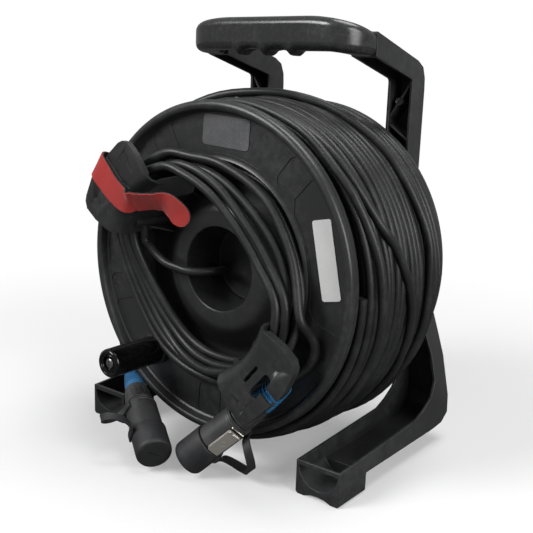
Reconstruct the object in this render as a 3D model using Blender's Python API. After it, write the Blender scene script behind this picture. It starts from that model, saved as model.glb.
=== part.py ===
"""Fibre optic cable reel: a plastic drum that turns on a one-sided rear frame.

Metres, +Z up. The drum turns about a line parallel to Y at AXIS_HEIGHT above
the floor, its front looks along -Y, and the origin is on the floor below the
middle of the drum. Radii and heights "in the drum" are measured from that line.
"""
import math

import bmesh
import bpy
from mathutils import Matrix, Vector

# Fits
GAP = 0.0003                 # between pieces that touch
RUNNING = 0.0004             # between pieces that turn on each other
WALL = 0.0028                # moulded wall of the frame
SKIN = 0.0025                # moulded wall of the drum

# Drum
AXIS_HEIGHT = 0.181
FLANGE_RADIUS = 0.155
RIM_HALF_WIDTH = 0.0825      # drum centre to the outer side of a rolled rim
WEB_HALF_WIDTH = 0.070       # drum centre to the inner side of a flange
WEB = 0.0035                 # flange thickness
RIM_WIDTH = 0.009            # rolled rim, measured along the radius
OPENING_RADIUS = 0.1014      # round opening in the front flange
BARREL_RADIUS = 0.105        # the core that the cable is wound on
BARREL_WALL = 0.003
HOLE_RADIUS = 0.040          # mouth of the cup in the middle
CUP_FLOOR_RADIUS = 0.038
CUP_DEPTH = 0.0455
CUP_COLLAR_RADIUS = 0.048    # flange of the cup behind the dish's flat face
DISH_FACE = 0.0686           # drum centre to the dish's flat face
DISH_FLAT_RADIUS = 0.057
TROUGH_FLOOR = 0.050         # drum centre to the trough's floor
TROUGH_RADIUS = 0.081
PORT_RADIUS = 0.0095         # hole in the cup's wall that the inner lead leaves by
PORT_ANGLE = -158.0
PORT_DEPTH = 0.0345          # drum centre to the port's middle
WEB_PLATE = 0.004            # plate across the core that carries the hub
CABLE = 0.008
WINDING_RADIUS = 0.1642      # to the crests of the middle turns
WINDING_FRONT_RADIUS = 0.1575
WINDING_BACK_RADIUS = 0.1610
WINDING_FRONT = -0.0640      # depth of the first turn's middle, and of the last one's
WINDING_BACK = 0.0645
WINDING_TURNS = 16
WINDING_CROWN = 0.7
WINDING_SAG = 0.0055          # how far the wound cable hangs below the drum's line
FLANGE_PLAY = 0.0006
TURN_SECTION = ((-0.5, -0.0008), (-0.2, 0.0037), (0.2, 0.0037))

# Shaft
AXLE_RADIUS = 0.010
BUSH_WALL = 0.0028
BUSH_LENGTH = 0.013
BUSH_FLANGE = 0.0017
BUSH_FLANGE_RADIUS = 0.0165
SLEEVE_WALL = 0.004
NUT_WIDTH = 0.026
NUT_HEIGHT = 0.008
WASHER_RADIUS = 0.0165
WASHER = 0.002
HEAD_RADIUS = 0.016
HEAD_HEIGHT = 0.004

# Lead brackets on the front of the drum
BRACKET_ANGLES = (140.0, -40.0)
BRACKET_FRONT = 0.1185       # drum centre to the bracket plate's front
BRACKET_PLATE = 0.003
BRACKET_WALL_RADIUS = 0.0915
BRACKET_WALL = 0.003
BRACKET_LIP_WALL = 0.0026
POST_RADIUS = 0.004
POST_CIRCLE = BRACKET_WALL_RADIUS - POST_RADIUS - GAP
POST_ANGLE = 15.0
SCREW_RADIUS = 0.0018
SCREW_HEAD_RADIUS = 0.0036
SCREW_HEAD = 0.0022
SCREW_LENGTH = 0.012
SLOT_RADIUS = 0.1072         # strap slot, from the drum's line
SLOT_LENGTH = 0.022
SLOT_WIDTH = 0.0034
KEYHOLE_RADIUS = 0.1205      # connector slot, from the drum's line
KEYHOLE_LENGTH = 0.029
KEYHOLE_WIDTH = 0.0088
KEYHOLE_REACH = 0.030        # how far the connector slot's mouth runs outward

# Winding knob
KNOB_X = -0.0735
KNOB_Z = -0.0925
KNOB_RADIUS = 0.014
KNOB_LENGTH = 0.060
KNOB_BORE = 0.0054
COLLAR_RADIUS = 0.0155
COLLAR_HEIGHT = 0.005
SPINDLE_RADIUS = 0.005
KNOB_SCREW_HEAD = 0.0065

# Rear frame
FRAME_FRONT = 0.095          # drum centre to the front edge of the uprights
FRAME_BACK = 0.1205
FOOT_INNER = 0.110
FOOT_OUTER = 0.156
FOOT_FRONT = 0.085
FOOT_BLOCK = 0.043           # length of the deep block at the foot's front
CHANNEL_FLOOR = 0.018        # floor to the underside of the foot's channel
UPRIGHT_INNER = 0.0735
UPRIGHT_OUTER = 0.1005
UPRIGHT_FOOT_Z = 0.0285      # in the drum: the uprights are plumb above this
LEG_Z = -0.072               # in the drum: the legs are straight above this
LEG_INNER = 0.1025
LEG_OUTER = 0.1362
SEAM_Y = 0.0245              # where the grip meets the frame's arms
REAR_PAD_INNER = 0.112
REAR_PAD_OUTER = 0.137
REAR_PAD_LENGTH = 0.032
HUB_TOP = 0.075
HUB_BOTTOM = -0.055
HUB_PLATE = 0.006
HUB_BOSS_RADIUS = 0.022
FRAME_BOLT_RADIUS = 0.003
FRAME_BOLT_HEAD_RADIUS = 0.0055
FRAME_BOLT_HEAD = 0.003
FRAME_BOLT_LENGTH = 0.014
FRAME_BOLT_HEIGHTS = (0.042, 0.064)

# Grip
GRIP_FRONT = -0.015
GRIP_DEPTH = 0.026
GRIP_TOP = 0.2305
GRIP_HEIGHT = 0.0255
SEAM_TOP = 0.2188
SEAM_BOTTOM = 0.1968
LOBE_PITCH = 0.031
LOBE_DROP = 0.005
GRIP_SCREW_RADIUS = 0.002
GRIP_SCREW_HEAD_RADIUS = 0.004
GRIP_SCREW_HEAD = 0.0024
GRIP_SCREW_LENGTH = 0.012

# Brake
BRAKE_X = 0.048
BRAKE_Z = 0.0
BRAKE_PAD_RADIUS = 0.011
BRAKE_PAD = 0.0095           # long enough to keep the spindle behind the drum's rims
BRAKE_SPINDLE_RADIUS = 0.004
BRAKE_BOSS_RADIUS = 0.009
BRAKE_KNOB_RADIUS = 0.019
BRAKE_KNOB_HEIGHT = 0.0172
BRAKE_LOBES = 6

# Connectors: lengths along the axis, from the boot's tip to the cap's end
PLUG_LENGTH = 0.122
BOOT_LENGTH = 0.029
NUT_LENGTH = 0.0255
BODY_LENGTH = 0.0425
BOOT_TIP_RADIUS = 0.0066
BOOT_RIBS = 3
BOOT_PLAIN = 0.005
BOOT_GROOVE = 0.0009
BOOT_RADIUS = 0.0098
PLUG_NUT_RADIUS = 0.0136
BODY_RADIUS = 0.0154
CAP_RADIUS = 0.0170
CAP_WALL = 0.0024
CAP_LAP = 0.006              # how far the cap's skirt slips over the body
NOSE_RADIUS = 0.0128
LATCH_WIDTH = 0.0125
LATCH_HEIGHT = 0.0032
LANYARD_WIDTH = 0.0075
LANYARD = 0.0022

# Inner lead's coil round the brackets, radii and depths at the middle of its section
COIL_WIDE = 0.1035
COIL_NARROW = 0.0870
COIL_FRONT_DEPTH = 0.0930
COIL_BACK_DEPTH = 0.0860
COIL_WIDTH = 0.0165
COIL_HEIGHT = 0.0240

# Labels and strap
PLATE_WIDTH = 0.054
PLATE_HEIGHT = 0.0275
LABEL_WIDTH = 0.019
LABEL_HEIGHT = 0.069
LABEL = 0.0006
LABEL_CORNER = 0.003
PLATE_MIDDLE = (0.0098, 0.1273, 3.5)
CARD_MIDDLE = (0.1230, 0.0288, -12.1)
STRAP_WIDTH = 0.025
STRAP = 0.0016
BRACKET_EDGE = 0.1406        # furthest reach of a bracket's edge under the strap

ROUND = 52                   # steps round the drum
SMALL_ROUND = 20             # steps round a connector or a knob
TINY_ROUND = 12              # steps round a screw


def clear_scene():
    for thing in list(bpy.data.objects):
        bpy.data.objects.remove(thing, do_unlink=True)


def material(name, colour, roughness, metallic=0.0):
    made = bpy.data.materials.get(name)
    if made is None:
        made = bpy.data.materials.new(name)
        made.use_nodes = True
        shader = made.node_tree.nodes["Principled BSDF"]
        shader.inputs["Base Color"].default_value = (*colour, 1.0)
        shader.inputs["Roughness"].default_value = roughness
        shader.inputs["Metallic"].default_value = metallic
    return made


def finish_mesh(name, bm, surface, smooth_angle=35.0):
    """Turn a bmesh into a named object with its faces pointing out."""
    bmesh.ops.remove_doubles(bm, verts=bm.verts, dist=1e-6)
    bmesh.ops.recalc_face_normals(bm, faces=bm.faces)
    mesh = bpy.data.meshes.new(name)
    bm.to_mesh(mesh)
    bm.free()
    mesh.shade_smooth()
    mesh.set_sharp_from_angle(angle=math.radians(smooth_angle))
    thing = bpy.data.objects.new(name, mesh)
    if surface is not None:
        mesh.materials.append(surface)
    bpy.context.collection.objects.link(thing)
    return thing


def cutter(thing):
    thing.hide_render = True
    thing.display_type = "WIRE"
    return thing


def boolean(target, other, operation):
    step = target.modifiers.new(operation.lower(), "BOOLEAN")
    step.operation = operation
    step.solver = "EXACT"
    step.object = cutter(other)


def turned(name, profile, surface, place=Matrix.Identity(4), steps=ROUND):
    """Turn a profile of (radius, height) about local Y, then place it."""
    bm = bmesh.new()
    points = [bm.verts.new((radius, height, 0.0)) for radius, height in profile]
    edges = [bm.edges.new(pair) for pair in zip(points, points[1:])]
    if profile[0][0] > 0.0:
        edges.append(bm.edges.new((points[-1], points[0])))
    bmesh.ops.spin(bm, geom=points + edges, cent=(0, 0, 0), axis=(0, 1, 0),
                   angle=2 * math.pi, steps=steps, use_merge=True)
    bmesh.ops.transform(bm, matrix=place, verts=bm.verts)
    return finish_mesh(name, bm, surface)


def loft(name, sections, surface, closed=False):
    """Skin a row of like sections, with flat ends unless the row is closed."""
    bm = bmesh.new()
    rings = [[bm.verts.new(point) for point in section] for section in sections]
    pairs = list(zip(rings, rings[1:]))
    if closed:
        pairs.append((rings[-1], rings[0]))
    else:
        bm.faces.new(rings[0])
        bm.faces.new(rings[-1])
    count = len(rings[0])
    for first, second in pairs:
        for i in range(count):
            j = (i + 1) % count
            bm.faces.new((first[i], first[j], second[j], second[i]))
    return finish_mesh(name, bm, surface)


def prism(name, outline, front, back, surface, place=Matrix.Identity(4)):
    """Extrude an outline of (x, z) along local Y."""
    ends = [[place @ Vector((x, y, z)) for x, z in outline] for y in (front, back)]
    return loft(name, ends, surface)


def rounded(corners, radius, steps=4):
    """Round each corner of a closed outline."""
    points = []
    count = len(corners)
    for i, corner in enumerate(corners):
        here = Vector(corner)
        before = (Vector(corners[i - 1]) - here).normalized()
        after = (Vector(corners[(i + 1) % count]) - here).normalized()
        half = before.angle(after) / 2
        inset = radius / math.tan(half)
        centre = here + (before + after).normalized() * radius / math.sin(half)
        start = here + before * inset - centre
        end = here + after * inset - centre
        sweep = start.angle_signed(end)
        for k in range(steps + 1):
            turn = Matrix.Rotation(-sweep * k / steps, 2)
            points.append(tuple(centre + turn @ start))
    return points


def stadium(length, width, steps=6):
    """A slot's outline, round at both ends, along x."""
    half = (length - width) / 2
    points = []
    for side, start in ((1, -90), (-1, 90)):
        for k in range(steps + 1):
            angle = math.radians(start + 180 * k / steps)
            points.append((side * half + width / 2 * math.cos(angle), width / 2 * math.sin(angle)))
    return points


def rectangle(width, height):
    w, h = width / 2, height / 2
    return [(-w, -h), (w, -h), (w, h), (-w, h)]


def polygon(radius, sides, phase=0.0):
    angles = [2 * math.pi * i / sides + phase for i in range(sides)]
    return [(radius * math.cos(angle), radius * math.sin(angle)) for angle in angles]


def smooth_route(points, spacing):
    """Points at even spacing on one smooth curve through the given points."""
    route = [Vector(point) for point in points]
    padded = [2 * route[0] - route[1]] + route + [2 * route[-1] - route[-2]]
    fine = []
    for a, b, c, d in zip(padded, padded[1:], padded[2:], padded[3:]):
        for k in range(16):
            t = k / 16
            fine.append(0.5 * (2 * b + (c - a) * t + (2 * a - 5 * b + 4 * c - d) * t ** 2
                               + (3 * b - a - 3 * c + d) * t ** 3))
    fine.append(route[-1])
    lengths = [0.0]
    for a, b in zip(fine, fine[1:]):
        lengths.append(lengths[-1] + (b - a).length)
    steps = max(2, round(lengths[-1] / spacing))
    even = []
    k = 0
    for i in range(steps + 1):
        target = lengths[-1] * i / steps
        while k < len(fine) - 2 and lengths[k + 1] < target:
            k += 1
        part = (target - lengths[k]) / (lengths[k + 1] - lengths[k])
        even.append(fine[k].lerp(fine[k + 1], min(1.0, part)))
    return even


def along(origin, direction, up):
    """A place whose local Y runs along direction and local Z leans to up."""
    y = Vector(direction).normalized()
    x = y.cross(Vector(up)).normalized()
    z = x.cross(y)
    turn = Matrix((x, y, z)).transposed().to_4x4()
    return Matrix.Translation(origin) @ turn


def drum_place(x=0.0, z=0.0):
    return Matrix.Translation((x, 0.0, AXIS_HEIGHT + z))


def polar(radius, angle):
    return radius * math.cos(math.radians(angle)), radius * math.sin(math.radians(angle))


def tube(name, points, radius, surface):
    """A cord's plain solid: a bevelled poly curve with filled ends."""
    curve = bpy.data.curves.new(name, "CURVE")
    curve.dimensions = "3D"
    curve.bevel_depth = radius
    curve.bevel_resolution = 2
    curve.use_fill_caps = True
    spline = curve.splines.new("POLY")
    spline.points.add(len(points) - 1)
    for place, point in zip(spline.points, points):
        place.co = (*point, 1.0)
    curve.materials.append(surface)
    thing = bpy.data.objects.new(name, curve)
    bpy.context.collection.objects.link(thing)
    return thing


def ring_profile(inner, outer, low, high):
    return [(inner, low), (outer, low), (outer, high), (inner, high)]


BLACK = dict(colour=(0.032, 0.032, 0.034), roughness=0.5)
DARK_RUBBER = dict(colour=(0.030, 0.031, 0.034), roughness=0.7)
STEEL = dict(colour=(0.55, 0.55, 0.55), roughness=0.35, metallic=1.0)


def flange(name, side):
    """One drum flange: a flat web with a rolled rim on its outer side."""
    inner = OPENING_RADIUS if side < 0 else BUSH_FLANGE_RADIUS + GAP
    face = WEB_HALF_WIDTH + WEB
    shoulder = FLANGE_RADIUS - RIM_WIDTH
    profile = [
        (inner, WEB_HALF_WIDTH),
        (FLANGE_RADIUS - 0.004, WEB_HALF_WIDTH),
        (FLANGE_RADIUS, WEB_HALF_WIDTH + 0.004),
        (FLANGE_RADIUS, RIM_HALF_WIDTH - 0.003),
        (FLANGE_RADIUS - 0.0025, RIM_HALF_WIDTH),
        (shoulder + 0.0025, RIM_HALF_WIDTH),
        (shoulder, RIM_HALF_WIDTH - 0.0025),
        (shoulder - 0.001, face),
        (inner, face),
    ]
    profile = [(radius, side * height) for radius, height in profile]
    return turned(name, profile, material("drum_plastic", **BLACK), drum_place())


def core_barrel():
    """The core tube with a plate across it, the hub sleeve and screw bosses."""
    tube_outer = BARREL_RADIUS
    tube_inner = BARREL_RADIUS - BARREL_WALL
    end = WEB_HALF_WIDTH - GAP
    bore = AXLE_RADIUS + RUNNING + BUSH_WALL + GAP
    sleeve = bore + SLEEVE_WALL
    profile = [
        (tube_outer, -end), (tube_outer, end), (tube_inner, end), (tube_inner, WEB_PLATE),
        (sleeve, WEB_PLATE), (sleeve, end), (bore, end), (bore, 0.0),
        (tube_inner, 0.0), (tube_inner, -end),
    ]
    return turned("core_barrel", profile, material("drum_plastic", **BLACK), drum_place())


def hub_dish():
    """The dished plate in the front opening, with a round hole that the cup is fixed behind."""
    edge = BARREL_RADIUS - BARREL_WALL - GAP
    profile = [
        (HOLE_RADIUS, -DISH_FACE), (DISH_FLAT_RADIUS, -DISH_FACE), (TROUGH_RADIUS, -TROUGH_FLOOR),
        (edge, -TROUGH_FLOOR), (edge, -TROUGH_FLOOR + SKIN), (TROUGH_RADIUS - 0.001, -TROUGH_FLOOR + SKIN),
        (DISH_FLAT_RADIUS - 0.001, -DISH_FACE + SKIN), (HOLE_RADIUS, -DISH_FACE + SKIN),
    ]
    dish = turned("hub_dish", profile, material("drum_plastic", **BLACK), drum_place())
    for index, angle in enumerate(post_angles()):
        x, z = polar(POST_CIRCLE, angle)
        hole = prism(f"dish_screw_cutter_{index}", polygon(SCREW_RADIUS + GAP, TINY_ROUND),
                     -TROUGH_FLOOR - 0.004, -TROUGH_FLOOR + 0.006, None, drum_place(x, z))
        boolean(dish, hole, "DIFFERENCE")
    return dish


def hub_cup():
    """The closed cup behind the dish's hole, with a collar against the dish and a port in its wall."""
    floor = CUP_DEPTH - DISH_FACE
    collar = -DISH_FACE + SKIN + GAP
    profile = [
        (0.0, floor), (CUP_FLOOR_RADIUS, floor), (HOLE_RADIUS, collar), (CUP_COLLAR_RADIUS, collar),
        (CUP_COLLAR_RADIUS, collar + SKIN), (HOLE_RADIUS + SKIN, collar + SKIN),
        (CUP_FLOOR_RADIUS + SKIN, floor + SKIN), (0.0, floor + SKIN),
    ]
    cup = turned("hub_cup", profile, material("drum_plastic", **BLACK), drum_place())
    x, z = polar(CUP_FLOOR_RADIUS, PORT_ANGLE)
    place = along((x, -PORT_DEPTH, AXIS_HEIGHT + z), (x, 0.0, z), (0, 1, 0))
    hole = prism("port_cutter", polygon(PORT_RADIUS, 16), -0.012, 0.012, None, place)
    boolean(cup, hole, "DIFFERENCE")
    return cup


def post_angles():
    return [middle + side * POST_ANGLE for middle in BRACKET_ANGLES for side in (-1, 1)]


def port_grommet():
    """A soft ring in the cup's port that the inner lead passes through."""
    x, z = polar(CUP_FLOOR_RADIUS + SKIN / 2 + 0.0008, PORT_ANGLE)
    place = along((x, -PORT_DEPTH, AXIS_HEIGHT + z), (x, 0.0, z), (0, 1, 0))
    half = SKIN / 2 + 0.0008
    profile = ring_profile(CABLE / 2 + GAP, PORT_RADIUS - GAP, -half, half)
    return turned("port_grommet", profile, material("dark_rubber", **DARK_RUBBER), place, SMALL_ROUND)


# One bracket's outline: degrees from its middle, radius of its outer edge, depth of its lip
BRACKET_OUTLINE = (
    (-22.6, 0.1020, 0.0055), (-21.3, 0.1190, 0.0055), (-19.2, 0.1330, 0.0055), (-16.8, 0.1376, 0.0055),
    (-14.5, 0.1388, 0.0060), (-8.0, 0.1384, 0.0075), (-2.0, 0.1386, 0.0085), (4.0, 0.1402, 0.0085),
    (6.5, 0.1405, 0.0085), (11.0, 0.1392, 0.0085), (14.5, 0.1388, 0.0085), (16.8, 0.1376, 0.0085),
    (19.2, 0.1330, 0.0085), (21.3, 0.1190, 0.0085), (22.6, 0.1020, 0.0085),
)


def bracket(name, middle):
    """A lead bracket: a lipped plate that turns down into a curved wall with two screw posts."""
    foot = -TROUGH_FLOOR - GAP
    front = -BRACKET_FRONT
    back = front + BRACKET_PLATE
    outer = BRACKET_WALL_RADIUS
    inner = outer - BRACKET_WALL
    sections = []
    for offset, edge, lip in BRACKET_OUTLINE:
        profile = [
            (inner, foot), (inner, front + 0.0125), (inner + 0.0030, front + 0.0050),
            (inner + 0.0075, front + 0.0010),
            (OPENING_RADIUS - 0.0010, front), (edge, front), (edge, front + lip),
            (edge - BRACKET_LIP_WALL, front + lip), (edge - BRACKET_LIP_WALL, back),
            (OPENING_RADIUS, back), (outer + 0.0055, back + 0.0010), (outer + 0.0018, back + 0.0040),
            (outer, back + 0.0095), (outer, foot),
        ]
        section = []
        for radius, y in profile:
            x, z = polar(radius, middle + offset)
            section.append(Vector((x, y, AXIS_HEIGHT + z)))
        sections.append(section)
    wall = loft(name, sections, material("drum_plastic", **BLACK))
    for side in (-1, 1):
        x, z = polar(POST_CIRCLE, middle + side * POST_ANGLE)
        post = prism(f"{name}_post_{side}", polygon(POST_RADIUS, TINY_ROUND), front + 0.020, foot, None,
                     drum_place(x, z))
        boolean(wall, post, "UNION")
        bore = prism(f"{name}_bore_{side}", polygon(SCREW_RADIUS + GAP, TINY_ROUND),
                     foot - SCREW_LENGTH, foot + 0.002, None, drum_place(x, z))
        boolean(wall, bore, "DIFFERENCE")
    turn = Matrix.Rotation(math.radians(90 - middle), 4, "Y")
    cut_front, cut_back = front - 0.004, front + 0.012
    slot_x, slot_z = polar(SLOT_RADIUS, middle)
    slot = prism(name + "_slot", stadium(SLOT_LENGTH, SLOT_WIDTH, 3), cut_front, cut_back,
                 None, drum_place(slot_x, slot_z) @ turn)
    boolean(wall, slot, "DIFFERENCE")
    key_x, key_z = polar(KEYHOLE_RADIUS, middle)
    half = KEYHOLE_WIDTH / 2
    keyhole = stadium(KEYHOLE_LENGTH, KEYHOLE_WIDTH, 6)
    keyhole[7:7] = [(half, half), (half, KEYHOLE_REACH), (-half, KEYHOLE_REACH), (-half, half)]
    key = prism(name + "_keyhole", keyhole, cut_front, cut_back, None, drum_place(key_x, key_z) @ turn)
    boolean(wall, key, "DIFFERENCE")
    return wall


def screw(name, x, z, head_back, direction, length, radius=SCREW_RADIUS, head_radius=SCREW_HEAD_RADIUS,
          head=SCREW_HEAD):
    """A pan-head screw along Y: direction is the way its shank points."""
    profile = [
        (0.0, 0.0), (head_radius * 0.8, 0.0), (head_radius, head * 0.35), (head_radius, head),
        (radius, head), (radius, head + length), (0.0, head + length),
    ]
    profile = [(r, head_back + direction * h) for r, h in profile]
    return turned(name, profile, material("zinc_steel", **STEEL), drum_place(x, z), TINY_ROUND)


def bracket_screws():
    start = -TROUGH_FLOOR + SKIN + GAP + SCREW_HEAD
    for index, angle in enumerate(post_angles()):
        x, z = polar(POST_CIRCLE, angle)
        letter = "ab"[index // 2]
        screw(f"bracket_{letter}_screw_{index % 2 + 1}", x, z, start, -1, SCREW_LENGTH)


def turn_centre(depth):
    """How far the middle of an outer turn lies from the drum's line at this depth."""
    across = min(1.0, max(0.0, (depth - WINDING_FRONT) / (WINDING_BACK - WINDING_FRONT)))
    edge = WINDING_FRONT_RADIUS + (WINDING_BACK_RADIUS - WINDING_FRONT_RADIUS) * across
    crown = math.sin(math.pi * across) ** WINDING_CROWN
    return edge + (WINDING_RADIUS - edge) * crown - CABLE / 2


def winding_ring():
    """The wound cable as one solid, its outer layer a helix of turns between the flanges."""
    half = WEB_HALF_WIDTH - FLANGE_PLAY
    pitch = (WINDING_BACK - WINDING_FRONT) / WINDING_TURNS
    bm = bmesh.new()
    columns = []
    for step in range(ROUND):
        section = [(BARREL_RADIUS + GAP, half), (BARREL_RADIUS + GAP, -half)]
        for turn in range(-1, WINDING_TURNS + 3):
            for offset, rise in TURN_SECTION:
                depth = WINDING_FRONT + pitch * (turn + offset - step / ROUND)
                held = min(half, max(-half, depth))
                section.append((turn_centre(held) + (rise if held == depth else 0.0), held))
        angle = 360.0 * step / ROUND
        sag = WINDING_SAG * math.sin(math.radians(angle))
        points = [polar(radius - (sag if i > 1 else 0.0), angle) for i, (radius, _) in enumerate(section)]
        columns.append([bm.verts.new((x, depth, z)) for (x, z), (_, depth) in zip(points, section)])
    count = len(columns[0])
    for step, column in enumerate(columns):
        slip = len(TURN_SECTION) if step == ROUND - 1 else 0
        after = columns[(step + 1) % ROUND]
        for i in range(count):
            j = (i + 1) % count
            following = [after[k] if k < 2 else after[max(2, k - slip)] for k in (j, i)]
            bm.faces.new(dict.fromkeys((column[i], column[j], *following)))
    bmesh.ops.transform(bm, matrix=drum_place(), verts=bm.verts)
    bmesh.ops.remove_doubles(bm, verts=bm.verts, dist=1e-6)
    bmesh.ops.dissolve_degenerate(bm, edges=bm.edges, dist=1e-6)
    return finish_mesh("cable_winding", bm, material("cable_jacket", **DARK_RUBBER))


def shaft():
    """The fixed axle, its nut and washer, two bushes and a spacer."""
    steel = material("zinc_steel", **STEEL)
    bronze = material("bush_bronze", (0.45, 0.30, 0.14), 0.4, 1.0)
    bush_inner = AXLE_RADIUS + RUNNING
    bush_outer = bush_inner + BUSH_WALL
    washer_back = -BUSH_FLANGE - GAP - RUNNING
    nut_back = washer_back - WASHER - GAP
    thread_end = nut_back - NUT_HEIGHT - 0.001
    frame_back = FRAME_BACK + GAP
    axle = [
        (0.0, thread_end), (AXLE_RADIUS - 0.001, thread_end), (AXLE_RADIUS, thread_end + 0.001),
        (AXLE_RADIUS, frame_back), (HEAD_RADIUS, frame_back), (HEAD_RADIUS, frame_back + HEAD_HEIGHT * 0.6),
        (HEAD_RADIUS - 0.0015, frame_back + HEAD_HEIGHT), (0.0, frame_back + HEAD_HEIGHT),
    ]
    turned("axle", axle, steel, drum_place(), SMALL_ROUND)
    hexagon = polygon(NUT_WIDTH / math.sqrt(3), 6)
    nut = prism("axle_nut", hexagon, nut_back - NUT_HEIGHT, nut_back, steel, drum_place())
    bore = prism("axle_nut_cutter", polygon(AXLE_RADIUS + GAP, SMALL_ROUND), nut_back - 0.02, nut_back + 0.01,
                 None, drum_place())
    boolean(nut, bore, "DIFFERENCE")
    turned("axle_washer", ring_profile(AXLE_RADIUS + GAP, WASHER_RADIUS, washer_back - WASHER, washer_back),
           steel, drum_place(), SMALL_ROUND)
    front_bush = [
        (bush_inner, -BUSH_FLANGE - GAP), (BUSH_FLANGE_RADIUS, -BUSH_FLANGE - GAP),
        (BUSH_FLANGE_RADIUS, -GAP),
        (bush_outer, -GAP), (bush_outer, BUSH_LENGTH), (bush_inner, BUSH_LENGTH),
    ]
    turned("front_bush", front_bush, bronze, drum_place(), SMALL_ROUND)
    end = WEB_HALF_WIDTH
    rear_bush = [
        (bush_inner, end - BUSH_LENGTH), (bush_outer, end - BUSH_LENGTH), (bush_outer, end),
        (BUSH_FLANGE_RADIUS, end), (BUSH_FLANGE_RADIUS, end + BUSH_FLANGE), (bush_inner, end + BUSH_FLANGE),
    ]
    turned("rear_bush", rear_bush, bronze, drum_place(), SMALL_ROUND)
    spacer = ring_profile(AXLE_RADIUS + GAP, AXLE_RADIUS + 0.005, end + BUSH_FLANGE + RUNNING,
                          FRAME_FRONT - GAP)
    turned("axle_spacer", spacer, steel, drum_place(), SMALL_ROUND)


def winding_knob():
    """Spindle with collar on the flange, a sleeve that turns on it, and the end screw."""
    plastic = material("drum_plastic", **BLACK)
    gloss = material("gloss_plastic", (0.020, 0.020, 0.021), 0.16)
    place = drum_place(KNOB_X, KNOB_Z)
    seat = -(WEB_HALF_WIDTH + WEB) - GAP
    collar_front = seat - COLLAR_HEIGHT
    sleeve_back = collar_front - RUNNING
    sleeve_front = sleeve_back - KNOB_LENGTH
    pocket = sleeve_front + 0.004
    spindle_end = pocket + 0.0006
    spindle = [
        (0.0, seat), (COLLAR_RADIUS, seat), (COLLAR_RADIUS, collar_front + 0.001),
        (COLLAR_RADIUS - 0.001, collar_front), (SPINDLE_RADIUS, collar_front), (SPINDLE_RADIUS, spindle_end),
        (SCREW_RADIUS + GAP, spindle_end), (SCREW_RADIUS + GAP, spindle_end + 0.014),
        (0.0, spindle_end + 0.014),
    ]
    turned("knob_spindle", spindle, plastic, place, SMALL_ROUND)
    sleeve = [
        (KNOB_BORE, sleeve_back), (KNOB_RADIUS - 0.001, sleeve_back), (KNOB_RADIUS, sleeve_back - 0.001),
        (KNOB_RADIUS, sleeve_front + 0.0025), (KNOB_RADIUS - 0.0025, sleeve_front),
        (KNOB_SCREW_HEAD + 0.0012, sleeve_front), (KNOB_SCREW_HEAD + 0.0008, pocket), (KNOB_BORE, pocket),
    ]
    turned("knob_sleeve", sleeve, gloss, place, 24)
    head_back = pocket - RUNNING
    screw_profile = [
        (0.0, head_back - 0.0028), (KNOB_SCREW_HEAD - 0.0012, head_back - 0.0028),
        (KNOB_SCREW_HEAD, head_back - 0.0018), (KNOB_SCREW_HEAD, head_back),
        (SCREW_RADIUS, head_back), (SCREW_RADIUS, spindle_end + 0.012), (0.0, spindle_end + 0.012),
    ]
    turned("knob_screw", screw_profile, material("zinc_steel", **STEEL), place, TINY_ROUND)


def side_rows():
    """Rows of one side frame, foot first: back (y, z), front (y, z), inner and outer x."""
    low = CHANNEL_FLOOR - AXIS_HEIGHT
    back = FRAME_BACK
    return [
        ((-FOOT_FRONT, low), (-FOOT_FRONT, low + 0.0140), FOOT_INNER, FOOT_OUTER),
        ((0.0850, low), (0.0480, low + 0.0215), FOOT_INNER, FOOT_OUTER),
        ((back - 0.0170, low + 0.0015), (0.0620, low + 0.0270), FOOT_INNER, FOOT_OUTER),
        ((back - 0.0050, low + 0.0095), (0.0765, low + 0.0355), FOOT_INNER, FOOT_OUTER),
        ((back, low + 0.0260), (0.0880, low + 0.0500), FOOT_INNER - 0.001, FOOT_OUTER - 0.003),
        ((back, LEG_Z - 0.024), (FRAME_FRONT - 0.001, LEG_Z - 0.018), LEG_INNER + 0.0035, LEG_OUTER + 0.0080),
        ((back, LEG_Z), (FRAME_FRONT, LEG_Z), LEG_INNER, LEG_OUTER),
        ((back, UPRIGHT_FOOT_Z), (FRAME_FRONT, UPRIGHT_FOOT_Z), UPRIGHT_INNER, UPRIGHT_OUTER),
        ((back, 0.1690), (FRAME_FRONT, 0.1690), UPRIGHT_INNER, UPRIGHT_OUTER),
        ((back - 0.0008, 0.1800), (FRAME_FRONT, 0.1750), UPRIGHT_INNER, UPRIGHT_OUTER),
        ((back - 0.0055, 0.1905), (FRAME_FRONT - 0.0008, 0.1772), UPRIGHT_INNER, UPRIGHT_OUTER),
        ((back - 0.0160, 0.1962), (FRAME_FRONT - 0.0030, 0.1786), UPRIGHT_INNER, UPRIGHT_OUTER),
        ((SEAM_Y + GAP, SEAM_TOP), (SEAM_Y + GAP, SEAM_BOTTOM), UPRIGHT_INNER, UPRIGHT_OUTER),
    ]


def side_sections(side, inset, overshoot):
    """Four corners for each row; inset and overshoot turn the solid into its cavity."""
    sections = []
    for (back_y, back_z), (front_y, front_z), inner, outer in side_rows():
        back = Vector((0, back_y, AXIS_HEIGHT + back_z))
        front = Vector((0, front_y, AXIS_HEIGHT + front_z))
        reach = (front - back).normalized()
        back = back + reach * inset
        front = front + reach * overshoot
        corners = []
        near, far = inner + inset, outer - inset
        for point, x in ((back, near), (back, far), (front, far), (front, near)):
            corners.append(Vector((side * x, point.y, point.z)))
        sections.append(corners)
    return sections


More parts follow.
